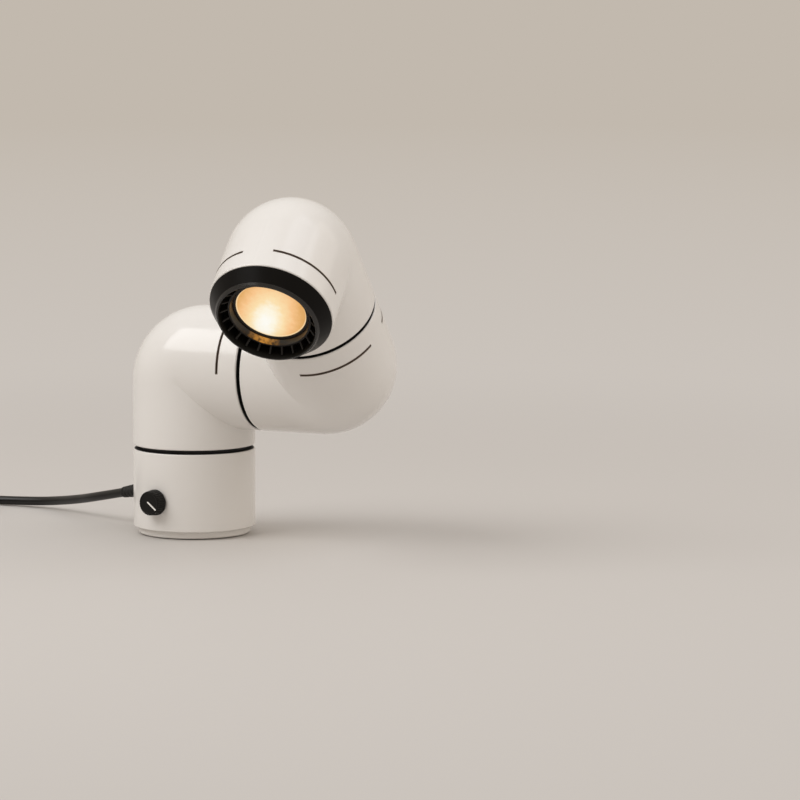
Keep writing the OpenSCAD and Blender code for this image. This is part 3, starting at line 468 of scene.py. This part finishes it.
# Flat plug: a round sleeve that widens into a flat body, as one run of superellipses. W and T are half sizes
SLEEVE_L = 14
SLEEVE_R = 4
SLEEVE_GROWS = 1.85
FLEX_WAVES = 4
FLEX_DEPTH = 0.7
PLUG_L = 34
PLUG_W = 17.5
PLUG_T = 6.85
PLUG_FRONT = SLEEVE_L + PLUG_L
PLUG_NOSE = 1.6
WIDENS_OVER = 0.55
RIB_FROM = 17
RIB_TO = 30
RIB_PITCH = 2.6
RIB_H = 0.35
PIN_APART = 9.3
PIN_R = 2
PIN_SLEEVE_R = 2.05

plug_frame = shift(coil_end[0], plug_back, PLUG_Z) @ turn(0, 90)


def plug_shape(columns=96):
    """Superellipses |x/w|^n + |y/t|^n = 1 along the plug: n grows from 2 in the sleeve to 5 in the body.

    The sleeve has flexing grooves, the flanks have shallow grip ribs, and the front edge is rounded.
    """
    nose_start = PLUG_FRONT - PLUG_NOSE
    along = np.concatenate([
        np.linspace(0, SLEEVE_L, 57), np.linspace(SLEEVE_L + 0.3, nose_start, 110),
        nose_start + PLUG_NOSE * np.sin(np.linspace(0.1, 1, 8) * math.pi / 2)])
    share = np.clip((along - SLEEVE_L) / (WIDENS_OVER * PLUG_L), 0, 1)
    ease = share * share * (3 - 2 * share)
    sleeve = SLEEVE_R + SLEEVE_GROWS * np.clip(along / SLEEVE_L, 0, 1)
    wave = np.clip(np.sin(along / SLEEVE_L * FLEX_WAVES * TAU - math.pi / 2), 0, 1)
    groove = FLEX_DEPTH * wave * (along < SLEEVE_L)
    ribs = RIB_H * np.sin((along - RIB_FROM) / RIB_PITCH * TAU) * ((along > RIB_FROM) & (along < RIB_TO))
    nose = np.clip((along - PLUG_FRONT + PLUG_NOSE) / PLUG_NOSE, 0, 1)
    drop = PLUG_NOSE * (1 - np.sqrt(1 - nose * nose))
    wide = (sleeve - groove + ease * (PLUG_W - sleeve) + ribs - drop)[:, None]
    thick = (sleeve - groove + ease * (PLUG_T - sleeve) - drop)[:, None]
    power = 2 / (2 + 3 * ease)[:, None]
    around = np.linspace(0, TAU, columns, endpoint=False)
    cos = np.cos(around)
    sin = np.sin(around)
    x = wide * np.sign(cos) * np.abs(cos) ** power
    y = thick * np.sign(sin) * np.abs(sin) ** power
    return np.stack([x, y, along[:, None] + 0 * x], -1)


def pin_pair(low, high, radius, tip):
    """Two round pins from low to high, with rounded tips: one turned profile, moved to either side."""
    pin = lathe(rounded([(0, low), (radius, low), (radius, high), (0, high)], [0, 0.1, tip, 0], 6), 32)
    return [pin + (side * PIN_APART, 0, 0) for side in (-1, 1)]


plug = put("plug_moulding", [capped(plug_shape())], cord_pvc, "base", plug_frame,
           closed=False)
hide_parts("plug_body")
pin_sleeves = put("plug_pin_sleeves", pin_pair(PLUG_FRONT - 2, PLUG_FRONT + 9.5, PIN_SLEEVE_R, 0.2),
                  knob_abs, "base", plug_frame)
pins = put("plug_contact_pins", pin_pair(PLUG_FRONT - 8, PLUG_FRONT + 19, PIN_R, 1.9),
           pin_brass, "base", plug_frame)
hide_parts("plug_pins")

# Moulded strain relief: flanges on both sides of the shell, then a sleeve that tapers along the cord
RELIEF_L = 22
RELIEF_R = 5.2
RELIEF_FALLS = 1.45
RELIEF_WAVES = 6
RELIEF_GROOVE = 0.5
RELIEF_BROADENS = 0.7
RELIEF_STEP = 0.5
RELIEF_BACK = 20
INSIDE_FROM = 20.5
INSIDE_TO = 36.5
RELIEF_SEAT = np.array([
    (-8, 3.2), (-8, 6.0), (-7.8, 6.25), (-5.6, 6.25), (-5.4, 6.0), (-5.4, 4.6), (-3.1, 4.6), (-3.1, 6.0),
    (-2.9, 6.25), (-0.7, 6.25), (-0.2, 6.05), (0, 5.6), (0.1, 5.2)])
RELIEF_END = np.array([(RELIEF_L - 0.2, 3.6), (RELIEF_L, 3.3), (RELIEF_L, 3.16)])


def relief_shape(sides=40):
    """Rings of a turned profile round the cord's own line: flange, neck and flange in the wall, then a taper.

    The taper's radius falls evenly along the cord, less the broadened half waves of its flexing grooves.
    """
    along = np.linspace(0.4, RELIEF_L - 0.6, 120)
    share = along / RELIEF_L
    wave = np.clip(np.sin(share * RELIEF_WAVES * TAU - math.pi / 2), 0, 1) ** RELIEF_BROADENS
    groove = RELIEF_GROOVE * wave * (share > 0.1) * (share < 0.9)
    taper = np.stack([along, RELIEF_R - RELIEF_FALLS * share - groove], -1)
    reach, radius = np.concatenate([RELIEF_SEAT, taper, RELIEF_END]).T
    steps = np.linalg.norm(np.diff(lead, axis=0, prepend=lead[:1]), axis=1)
    run = np.concatenate([[-RELIEF_BACK], np.cumsum(steps)])
    line = np.concatenate([[cord_exit - RELIEF_BACK * cord_out], lead])

    def at(distance):
        """The points of the cord's line at these distances from the exit."""
        return np.stack([np.interp(distance, run, line[:, k]) for k in range(3)], -1)

    return rings(at(reach), at(reach + RELIEF_STEP) - at(reach - RELIEF_STEP), radius, sides)


relief = put("cord_strain_relief", [capped(relief_shape())], black_rubber, "base",
             closed=False, sharp=50)
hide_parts("cord_grommet")
inner_line = np.linspace(INSIDE_FROM, INSIDE_TO, 9)[:, None] * cord_out + (0, 0, KNOB_Z)
inner = put("cord_inside", [capped(carried(inner_line, CORD_R))], cord_pvc, "base", closed=False)
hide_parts("inner_cord")


# Dimmer knob

KNOB_LOW = 42.5
KNOB_H = 7.8
KNOB_R = 8.85
KNOB_FACE_R = 8.2
KNOB_SKIRT = 1.2
KNOB_RIM = 1.1
KNOB_RIM_FOOT = 1.4
KNOB_DISH = 0.2
SOCKET_R = 6.5
SOCKET_H = 2.6
FLUTES = 30
FLUTE_COLUMNS = 10
FLUTE_DEPTH = 0.42
FLUTE_LOW = 1.5
FLUTE_TOP = KNOB_H - 0.7
FLUTE_ENDS = 0.8
# The side of the knob lies outside this radius, and its skirt outside the next and below this height
SIDE_R = 7.4
SKIRT_R = 8.5
SKIRT_TOP = 1.6
LINE_TURN = 54

knob_frame = radial(KNOB_AZ, KNOB_Z) @ shift(0, 0, KNOB_LOW)


def knob_shape():
    """A turned knob whose side is fluted: its radius less depth times sin(flutes times angle / 2)^4.

    The depth rises from nothing at the lower end of the flutes and fades again below the face.
    """
    dish = KNOB_H - KNOB_DISH
    profile = rounded(
        [(0, SOCKET_H), (SOCKET_R, SOCKET_H), (SOCKET_R, 0), (KNOB_R, 0), (KNOB_R, KNOB_SKIRT),
         (KNOB_FACE_R, KNOB_H), (KNOB_FACE_R - KNOB_RIM, KNOB_H), (KNOB_FACE_R - KNOB_RIM_FOOT, dish),
         (0, dish)],
        [0, 0.1, 0.1, 0.3, 0.5, 0.6, 0.15, 0.1, 0], 5)
    height = np.linspace(FLUTE_LOW, FLUTE_TOP, 14)
    leans = (KNOB_R - KNOB_FACE_R) * (height - KNOB_SKIRT) / (KNOB_H - KNOB_SKIRT)
    wall = np.stack([KNOB_R - leans, height], -1)
    on_wall = (profile[:, 0] > SIDE_R) & (profile[:, 1] > SKIRT_TOP) & (profile[:, 1] < FLUTE_TOP + 0.05)
    kept = profile[~on_wall]
    low = np.flatnonzero((kept[:, 0] > SKIRT_R) & (kept[:, 1] < SKIRT_TOP))[-1]
    profile = np.concatenate([kept[:low + 1], wall, kept[low + 1:]])
    grid = lathe(profile, FLUTES * FLUTE_COLUMNS)
    around = np.linspace(0, TAU, FLUTES * FLUTE_COLUMNS, endpoint=False)
    rises = np.clip((profile[:, 1] - FLUTE_LOW) / FLUTE_ENDS, 0, 1)
    fades = np.clip((KNOB_H + 0.1 - profile[:, 1]) / FLUTE_ENDS, 0, 1)
    ramp = rises * fades * (profile[:, 0] > SIDE_R)
    depth = FLUTE_DEPTH * ramp[:, None] * np.sin(around * FLUTES / 2) ** 4
    # The points on the axis have no radius to divide by
    radius = np.maximum(profile[:, :1], 1e-9)
    grid[..., :2] *= (1 - depth / radius)[..., None]
    return grid


knob = put("dimmer_knob_fluted", [knob_shape()], knob_abs, "knob", knob_frame, sharp=35)
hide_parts("dimmer_knob")


def bar(back, reach, width, low, high, edge):
    """A flat bar with round ends, from back behind the middle to reach ahead of it.

    Its outline is drawn in by the edge's arc as it nears the top.
    """
    around = np.linspace(0, TAU, 48, endpoint=False)
    half = width / 2
    middle = np.where(np.cos(around) >= 0, reach - half, half - back)
    rise = np.linspace(0, math.pi / 2, 5)
    inset = np.concatenate([[0], edge * (1 - np.cos(rise))])
    height = np.concatenate([[low], high - edge + edge * np.sin(rise)])
    wide = (half - inset)[:, None]
    x = middle + wide * np.cos(around)
    y = wide * np.sin(around)
    return np.stack([x, y, height[:, None] + 0 * x], -1)


line_frame = radial(KNOB_AZ, KNOB_Z) @ turn(2, LINE_TURN) @ shift(0, 0, KNOB_LOW + KNOB_H)
line_bar = bar(back=1.6, reach=7.5, width=1.1, low=-0.6, high=0.02, edge=0.12)
knob_line = put("knob_line", [capped(line_bar)], line_paint, "knob", line_frame,
                closed=False)
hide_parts("knob_pointer")


# Bezel, vanes and lamp, with heights in front of the tube's mouth

SEAT_R = 39.35
SEAT_IN_R = 37.35
FLANGE_R = 41.2
FLANGE_H = 0.4
SNOUT_R = 33.9
SNOUT_IN_R = 32.5
SNOUT_H = 11
THROAT_R = 32
LEDGE_H = 1
BEZEL_COLUMNS = 192
VANES = 24
VANE_T = 1.5
VANE_R = 31.85
VANE_FRONT = 8.4
VANE_FOOT = -2
VANE_SUNK = 1
HUB_R = 28.3
HUB_SEAT_R = 29.5
HUB_EDGE_R = 26.8
HUB_FRONT = 4.6
HUB_STEP = -1.7
HUB_BACK = -7
COLLAR_R = 37.33
WELL_R = 25.5
WELL_COLUMNS = 160

bezel_profile = rounded(
    [(SEAT_IN_R, -9), (SEAT_R, -9), (SEAT_R, 0), (FLANGE_R, 0), (FLANGE_R, FLANGE_H), (SNOUT_R, SNOUT_H),
     (SNOUT_IN_R, SNOUT_H), (THROAT_R, LEDGE_H), (SEAT_IN_R, LEDGE_H)],
    [0.2, 0.3, 0.1, 0.15, 0.4, 0.6, 0.5, 0.2, 0.1])
bezel = put("bezel_turned", [lathe(bezel_profile, BEZEL_COLUMNS)], black_pbt, "head",
            mouth_frame)
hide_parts("bezel_ring")

# Band over the snout's edge, 0.04 mm proud of it, which shows the highlight along the rim, partly painted
rim_profile = rounded(
    [(32.7, SNOUT_H - 0.3), (34.9, SNOUT_H - 1.9), (35.17, SNOUT_H - 1.78), (33.93, SNOUT_H + 0.04),
     (32.7, SNOUT_H + 0.04)],
    [0.05, 0.05, 0.1, 0.6, 0.3])
put("bezel_rim", [lathe(rim_profile, BEZEL_COLUMNS)], rim_highlight_pbt, "head", mouth_frame)

hub_profile = rounded(
    [(WELL_R, HUB_BACK), (HUB_SEAT_R, HUB_BACK), (HUB_SEAT_R, HUB_STEP), (HUB_R, HUB_STEP),
     (HUB_R, HUB_FRONT), (HUB_EDGE_R, HUB_FRONT), (WELL_R, 0.4)],
    [0.2, 0.3, 0.2, 0.2, 0.5, 0.5, 0.3])
collar_profile = rounded(
    [(VANE_R - VANE_SUNK, VANE_FOOT), (COLLAR_R, VANE_FOOT), (COLLAR_R, LEDGE_H),
     (VANE_R - VANE_SUNK, LEDGE_H)],
    0.2)
hub = lathe(hub_profile, BEZEL_COLUMNS)
collar = lathe(collar_profile, BEZEL_COLUMNS)


def vane_shapes():
    """All vanes at once: an upright section with a round top edge, run from hub to collar, turned about Z."""
    rise = np.linspace(0, math.pi, 9)
    half = VANE_T / 2
    arc = np.stack([half * np.cos(rise), half * np.sin(rise)], -1)
    outline = np.concatenate([[(half, 0)], arc, [(-half, 0)]])
    is_foot = np.zeros(len(outline), bool)
    is_foot[[0, -1]] = True
    reach = np.array([HUB_R - VANE_SUNK, HUB_R - 0.2, (HUB_R + VANE_R) / 2, VANE_R])
    top = np.interp(reach, [HUB_R - VANE_SUNK, VANE_R], [HUB_FRONT - 0.6, VANE_FRONT]) - half
    x = np.broadcast_to(reach[:, None], (len(reach), len(outline)))
    y = np.broadcast_to(outline[None, :, 0], x.shape)
    z = np.where(is_foot[None, :], VANE_FOOT, top[:, None] + outline[None, :, 1])
    angle = np.arange(VANES) * TAU / VANES
    cos = np.cos(angle)[:, None, None]
    sin = np.sin(angle)[:, None, None]
    return np.stack([x * cos - y * sin, x * sin + y * cos, z + 0 * cos], -1)


vanes = [capped(vane) for vane in vane_shapes()]
put("cooling_vanes", vanes, vane_pbt, "head", mouth_frame, closed=False)
vane_hub = put("vane_hub", [hub, collar], vane_pbt, "head", mouth_frame)
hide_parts("vane_ring")


# Black PBT of the wall round the lamp, with a painted reflection of the lamp's glow on it: an emission, golden
# beside the hot spot
def painted_glow_wall(beside):
    """The painted glow falls with the distance from a point beside the hot spot, and a noise breaks it up."""
    material, tree, where = begin("black_pbt_painted_glow")
    noise = add(tree, "ShaderNodeTexNoise", {"Vector": where, "Scale": 1 / (3 * MM), "Detail": 3})
    streaks = add(tree, "ShaderNodeMapRange", {
        "Value": noise.outputs["Fac"], "From Min": 0.38, "From Max": 0.62, "To Min": 0.1, "To Max": 0.8})
    point = tuple((beside * MM).tolist())
    apart = add(tree, "ShaderNodeVectorMath", {0: where, 1: point}, operation="DISTANCE")
    near = add(tree, "ShaderNodeMapRange", {
        "Value": apart.outputs["Value"], "From Min": 12 * MM, "From Max": 2 * MM,
        "To Min": 0.02, "To Max": 0.9})
    broken = add(tree, "ShaderNodeMath", {
        0: near.outputs["Result"], 1: streaks.outputs["Result"]}, operation="MULTIPLY")
    colour = add(tree, "ShaderNodeMix", {
        MIX_SHARE: broken.outputs["Value"], MIX_FIRST: linear("#050302"), MIX_SECOND: linear("#e39a3a")},
        data_type="RGBA")
    shader = add(tree, "ShaderNodeBsdfPrincipled", {
        "Base Color": linear("#0e0a07"), "Roughness": 0.2, "IOR": 1.4,
        "Emission Color": colour.outputs[MIX_RESULT], "Emission Strength": 1.0})
    add(tree, "ShaderNodeOutputMaterial", {"Surface": shader.outputs["BSDF"]})
    return material


# Place on the wall beside the hot spot, in the mouth's frame, where the painted reflection is brightest
PAINTED_GLOW_SPOT = (23.2, -11.8, 2.5)

# A thin sheet over the hub's slope round the lamp, which carries the painted reflection
wall_profile = rounded([(WELL_R - 0.06, 0.45), (WELL_R, 0.45), (26.78, 4.5), (26.72, 4.5)], 0.02, 2)
wall_glow_paint = painted_glow_wall((mouth_frame @ (*PAINTED_GLOW_SPOT, 1))[:3])
put("lamp_well_wall", [lathe(wall_profile, WELL_COLUMNS)], wall_glow_paint, "head", mouth_frame)
retainer_profile = rounded([(23.8, -0.8), (25.48, -0.8), (25.48, 0.4), (23.8, 0.4)], [0.1, 0.1, 0.2, 0.5])
retainer = put("lamp_retainer", [lathe(retainer_profile, WELL_COLUMNS)], vane_pbt, "head",
               mouth_frame)
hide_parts("lamp_retaining_ring")

GLASS_R = 24.3
GLASS_EDGE = np.array([(0, -2.6), (GLASS_R, -2.6), (24.6, -2.3), (24.6, -1.3)])
GLASS_FRONT = -1.0
GLASS_CROWN = 0.2


def glass_shape():
    """A round pane with a slight dome: its front lies (1 - (r/R)^2) times the crown above its rim."""
    radius = np.linspace(0, GLASS_R, 30)[::-1]
    front = np.stack([radius, GLASS_FRONT + GLASS_CROWN * (1 - (radius / GLASS_R) ** 2)], -1)
    return lathe(np.concatenate([GLASS_EDGE, front]), 128)


# Colours of the lit glass from the hot spot outwards, by the share of the way
GLOW_STOPS = [(0, "#f7f6ee"), (0.16, "#f7f0da"), (0.33, "#f5daa8"), (0.55, "#f1be84"), (0.73, "#dca660"),
              (1, "#c98f45")]


# Lit pressed glass: peach, with a white hot spot before the filament, a pale streak above and a bright edge
def lit_glass(hot_spot):
    """The colour follows the distance from the hot spot, which counts less along its X, and a mottle."""
    material, tree, where = begin("glass_pressed_lit")
    mottle = add(tree, "ShaderNodeTexNoise", {
        "Vector": where, "Scale": 1 / (4 * MM), "Detail": 4, "Roughness": 0.6})
    pebble = add(tree, "ShaderNodeTexVoronoi", {"Vector": where, "Scale": 1 / (2.2 * MM)})
    turned = Matrix(hot_spot.tolist())
    glow = add(tree, "ShaderNodeMapping", {
        "Vector": where, "Location": turned.to_translation() * MM, "Rotation": turned.to_euler(),
        "Scale": (2.2, 1, 1)}, vector_type="TEXTURE")
    apart = add(tree, "ShaderNodeVectorMath", {0: glow.outputs["Vector"]}, operation="LENGTH")
    stirred = add(tree, "ShaderNodeMath", {
        0: mottle.outputs["Fac"], 1: 6 * MM, 2: apart.outputs["Value"]}, operation="MULTIPLY_ADD")
    outwards = add(tree, "ShaderNodeMapRange", {
        "Value": stirred.outputs["Value"], "From Min": 4.5 * MM, "From Max": 33 * MM})
    ramp = add(tree, "ShaderNodeValToRGB", {"Fac": outwards.outputs["Result"]})
    elements = ramp.color_ramp.elements
    while len(elements) < len(GLOW_STOPS):
        elements.new(0.5)
    for element, (position, hex_colour) in zip(elements, GLOW_STOPS):
        element.position = position
        element.color = linear(hex_colour)
    middle = tuple((mouth_frame[:3, 3] * MM).tolist())
    radius = add(tree, "ShaderNodeVectorMath", {0: where, 1: middle}, operation="DISTANCE")
    rim = add(tree, "ShaderNodeMapRange", {
        "Value": radius.outputs["Value"], "From Min": 22.8 * MM, "From Max": 23.6 * MM, "To Max": 0.8})
    colour = add(tree, "ShaderNodeMix", {
        MIX_SHARE: rim.outputs["Result"], MIX_FIRST: ramp.outputs["Color"], MIX_SECOND: linear("#fee0b0")},
        data_type="RGBA")
    relief = add(tree, "ShaderNodeBump", {
        "Height": pebble.outputs["Distance"], "Distance": 0.15 * MM, "Strength": 1})
    shader = add(tree, "ShaderNodeBsdfPrincipled", {
        "Base Color": linear("#3a2c1c"), "Roughness": 0.12, "IOR": 1.5, "Normal": relief.outputs["Normal"],
        "Emission Color": colour.outputs[MIX_RESULT], "Emission Strength": 1.0})
    add(tree, "ShaderNodeOutputMaterial", {"Surface": shader.outputs["BSDF"]})
    return material


# The hot spot lies off the middle of the glass, and the streak runs up from it along the frame's X
glow_frame = mouth_frame @ shift(11, -7.6, -0.8) @ turn(2, 150.7)
glass = put("lamp_glass_lit", [glass_shape()], lit_glass(glow_frame), "head", mouth_frame)
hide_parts("lamp_front_glass")


# Brown linings of the vent slots and black faces of the grooves, which paint the shade in the slots and
# grooves

SLOT_LIP = 0.28
SLOT_POINTS = 60
# Steps of a lining's section, as (inset from the slot's edge, radius)
LINING_STEPS = [
    (0.01, INNER_R), (0.01, TUBE_R + 0.02), (-SLOT_LIP, TUBE_R + 0.02),
    (-SLOT_LIP, TUBE_R + 0.05), (0.1, TUBE_R + 0.05), (0.1, INNER_R)]
FACE_IN_R = WASHER_R + 0.15
FACE_OUT_R = TUBE_R - 1
FACE_T = 0.2
FACE_GAP = 0.01


def slot_liner(start, span):
    """A thin wall round a slot in a tube, with a narrow lip outside: the slot's outline at insets and radii.

    The outline runs along one side of the slot by its angle and back along the other side.
    """
    rows = []
    for inset, radius in LINING_STEPS:
        shorter = inset / TUBE_R
        along = np.linspace(math.radians(start) + shorter, math.radians(start + span) - shorter, SLOT_POINTS)
        angle = np.concatenate([along, along[::-1]])
        height = np.repeat([inset - SLOT_W / 2, SLOT_W / 2 - inset], SLOT_POINTS)
        rows.append(np.stack([radius * np.cos(angle), radius * np.sin(angle), height], -1))
    return np.stack(rows)


def face_ring(low, high):
    """A flat black ring round the washer, on one of the two faces of a groove, that paints the groove's shade:
    its section turned about Z.
    """
    corners = [(FACE_IN_R, low), (FACE_OUT_R, low), (FACE_OUT_R, high), (FACE_IN_R, high)]
    return lathe(rounded(corners, 0.05, 2))


slot_frame = shift(LEG - SLOT_SETBACK, 0, LEG) @ turn(1, 90)
slots = [slot_liner(start, SLOT_SPAN) for start in (180 + SLOT_BRIDGE, 180 - SLOT_BRIDGE - SLOT_SPAN)]
# The brown linings and their lips stand in for the shade inside the slots: painted shade
for body, elbow_frame in [("lower_arm", lower_frame), ("middle_arm", middle_frame), ("head", head_frame)]:
    put(body + "_slot_shade_linings", slots, slot_shade_pbt, body, elbow_frame @ slot_frame)
grooves = [
    ("base", "lower_arm", lower_frame),
    ("lower_arm", "middle_arm", lower_frame @ to_outlet),
    ("middle_arm", "head", middle_frame @ to_outlet),
]
# Black rings on both faces of each groove darken it: painted shade
for fixed, moving, place in grooves:
    fixed_face = face_ring(FACE_GAP - GROOVE, FACE_T - GROOVE)
    moving_face = face_ring(-FACE_T, -FACE_GAP)
    put(fixed + "_groove_shade_face", [fixed_face], washer_nylon_and_groove_shade, fixed, place)
    put(moving + "_groove_shade_back", [moving_face], washer_nylon_and_groove_shade, moving, place)


# CAD nodes that stay, with their finishes

SWIVELS = ("base", "arm", "head")
brass_pieces = [swivel + piece for swivel in SWIVELS for piece in ("_pivot", "_pivot_nut")]
steel_pieces = [swivel + piece for swivel in SWIVELS
                for piece in ("_pivot_screws", "_disc_spring", "_stop_plate", "_stop_pin")]
finishes = {
    white_abs: ["base_shell", "bottom_cover", "lower_elbow", "middle_elbow", "head_elbow"],
    black_rubber: ["anti_slip_pad"],
    washer_nylon_and_groove_shade: [swivel + "_friction_washer" for swivel in SWIVELS],
    black_pbt: ["cord_clamp"],
    cast_iron: ["ballast_weight"],
    steatite: ["terminal_block", "lamp_base", "lamp_holder"],
    mirror_glass: ["lamp_reflector", "lamp_capsule"],
    nickel_brass: ["dimmer_body", "dimmer_nut", "dimmer_shaft", *brass_pieces],
    zinc_steel: ["cover_screws", "clamp_screws", "holder_bracket", "carrier_screws", *steel_pieces],
}
for material, names in finishes.items():
    for name in names:
        for material_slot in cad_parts[name].material_slots:
            material_slot.material = material


# Floor and light, in metres

NEAR_BACKDROP = "#cbc4bd"
FAR_BACKDROP = "#c2b9ae"
FLOOR_R = 60
FLOOR_SIDES = 64
# Distances from the lamp over which the floor turns to the backdrop's colours, and one of these to the other
FADE_FROM = 0.3
FADE_TO = 1.1
TINT_FROM = 0.6
TINT_TO = 5
ROOM_STRENGTH = 0.55
LIT_POINT = (0.03, -0.04, 0.1)


def shows_backdrop(tree):
    """1 for what the camera sees straight, in gloss or through glass, and 0 for the light on the object."""
    path = add(tree, "ShaderNodeLightPath", {})
    straight = add(tree, "ShaderNodeMath", {
        0: path.outputs["Is Camera Ray"], 1: path.outputs["Is Glossy Ray"]}, operation="MAXIMUM")
    shown = add(tree, "ShaderNodeMath", {
        0: straight.outputs["Value"], 1: path.outputs["Is Transmission Ray"]}, operation="MAXIMUM")
    return shown.outputs["Value"]


def floor():
    """A wide round floor. Away from the lamp it fades to the backdrop's colour, which hides where it ends."""
    mesh = bpy.data.meshes.new("floor")
    around = np.linspace(0, TAU, FLOOR_SIDES, endpoint=False)
    rim = np.stack([FLOOR_R * np.cos(around), FLOOR_R * np.sin(around), 0 * around], -1)
    mesh.from_pydata(rim.tolist(), [], [list(range(FLOOR_SIDES))])
    material, tree, where = begin("paper_floor")
    apart = add(tree, "ShaderNodeVectorMath", {0: where}, operation="LENGTH")
    far = add(tree, "ShaderNodeMapRange", {
        "Value": apart.outputs["Value"], "From Min": TINT_FROM, "From Max": TINT_TO})
    colour = add(tree, "ShaderNodeMix", {
        MIX_SHARE: far.outputs["Result"], MIX_FIRST: linear(NEAR_BACKDROP), MIX_SECOND: linear(FAR_BACKDROP)},
        data_type="RGBA")
    sheet = add(tree, "ShaderNodeBsdfPrincipled", {
        "Base Color": linear("#c9c5c1"), "Roughness": 0.55, "IOR": 1.3})
    glow = add(tree, "ShaderNodeEmission", {"Color": colour.outputs[MIX_RESULT], "Strength": 1})
    distant = add(tree, "ShaderNodeMapRange", {
        "Value": apart.outputs["Value"], "From Min": FADE_FROM, "From Max": FADE_TO},
        interpolation_type="SMOOTHSTEP")
    share = add(tree, "ShaderNodeMath", {
        0: shows_backdrop(tree), 1: distant.outputs["Result"]}, operation="MULTIPLY")
    mixed = add(tree, "ShaderNodeMixShader", {
        0: share.outputs["Value"], 1: sheet.outputs["BSDF"], 2: glow.outputs["Emission"]})
    add(tree, "ShaderNodeOutputMaterial", {"Surface": mixed.outputs["Shader"]})
    mesh.materials.append(material)
    made = bpy.data.objects.new("floor", mesh)
    bpy.context.collection.objects.link(made)


def softbox(name, place, size, power, colour):
    """A rectangular lamp at place that points at the lit point: its axes are side, rise and away."""
    data = bpy.data.lights.new(name, "AREA")
    data.shape = "RECTANGLE"
    data.size, data.size_y = size
    data.energy = power
    data.color = linear(colour)[:3]
    made = bpy.data.objects.new(name, data)
    bpy.context.collection.objects.link(made)
    ahead = np.array(LIT_POINT, float) - np.array(place, float)
    ahead = ahead / np.linalg.norm(ahead)
    side = np.cross(ahead, (0, 0, 1))
    side = side / np.linalg.norm(side)
    rise = np.cross(side, ahead)
    matrix = np.eye(4)
    matrix[:3] = np.stack([side, rise, -ahead, place], -1)
    made.matrix_world = Matrix(matrix.tolist())


def surroundings():
    """A soft light from all sides, warm from the level and whiter from above, seen as the backdrop."""
    world = bpy.data.worlds.new("studio")
    bpy.context.scene.world = world
    world.use_nodes = True
    tree = world.node_tree
    tree.nodes.clear()
    toward = add(tree, "ShaderNodeTexCoord", {}).outputs["Generated"]
    height = add(tree, "ShaderNodeSeparateXYZ", {"Vector": toward}).outputs["Z"]
    raised = add(tree, "ShaderNodeMapRange", {"Value": height, "From Min": 0.1, "From Max": 0.9})
    colour = add(tree, "ShaderNodeMix", {
        MIX_SHARE: raised.outputs["Result"], MIX_FIRST: linear("#fff0e0"), MIX_SECOND: linear("#fffaf4")},
        data_type="RGBA")
    room = add(tree, "ShaderNodeBackground", {"Color": colour.outputs[MIX_RESULT], "Strength": ROOM_STRENGTH})
    backdrop = add(tree, "ShaderNodeBackground", {"Color": linear(FAR_BACKDROP), "Strength": 1})
    mixed = add(tree, "ShaderNodeMixShader", {
        0: shows_backdrop(tree), 1: room.outputs["Background"], 2: backdrop.outputs["Background"]})
    add(tree, "ShaderNodeOutputWorld", {"Surface": mixed.outputs["Shader"]})


floor()
surroundings()
softbox("key_softbox", place=(-1.5, -0.75, 1.9), size=(1.9, 1.6), power=31.5, colour="#fdfdfd")
softbox("top_softbox", place=(1.2, -0.7, 2.7), size=(2.6, 2.2), power=17, colour="#eef4ff")
softbox("right_softbox", place=(2.4, -0.2, 1.5), size=(2.8, 2.4), power=15, colour="#fff6ea")
bpy.context.scene.view_settings.view_transform = "Standard"
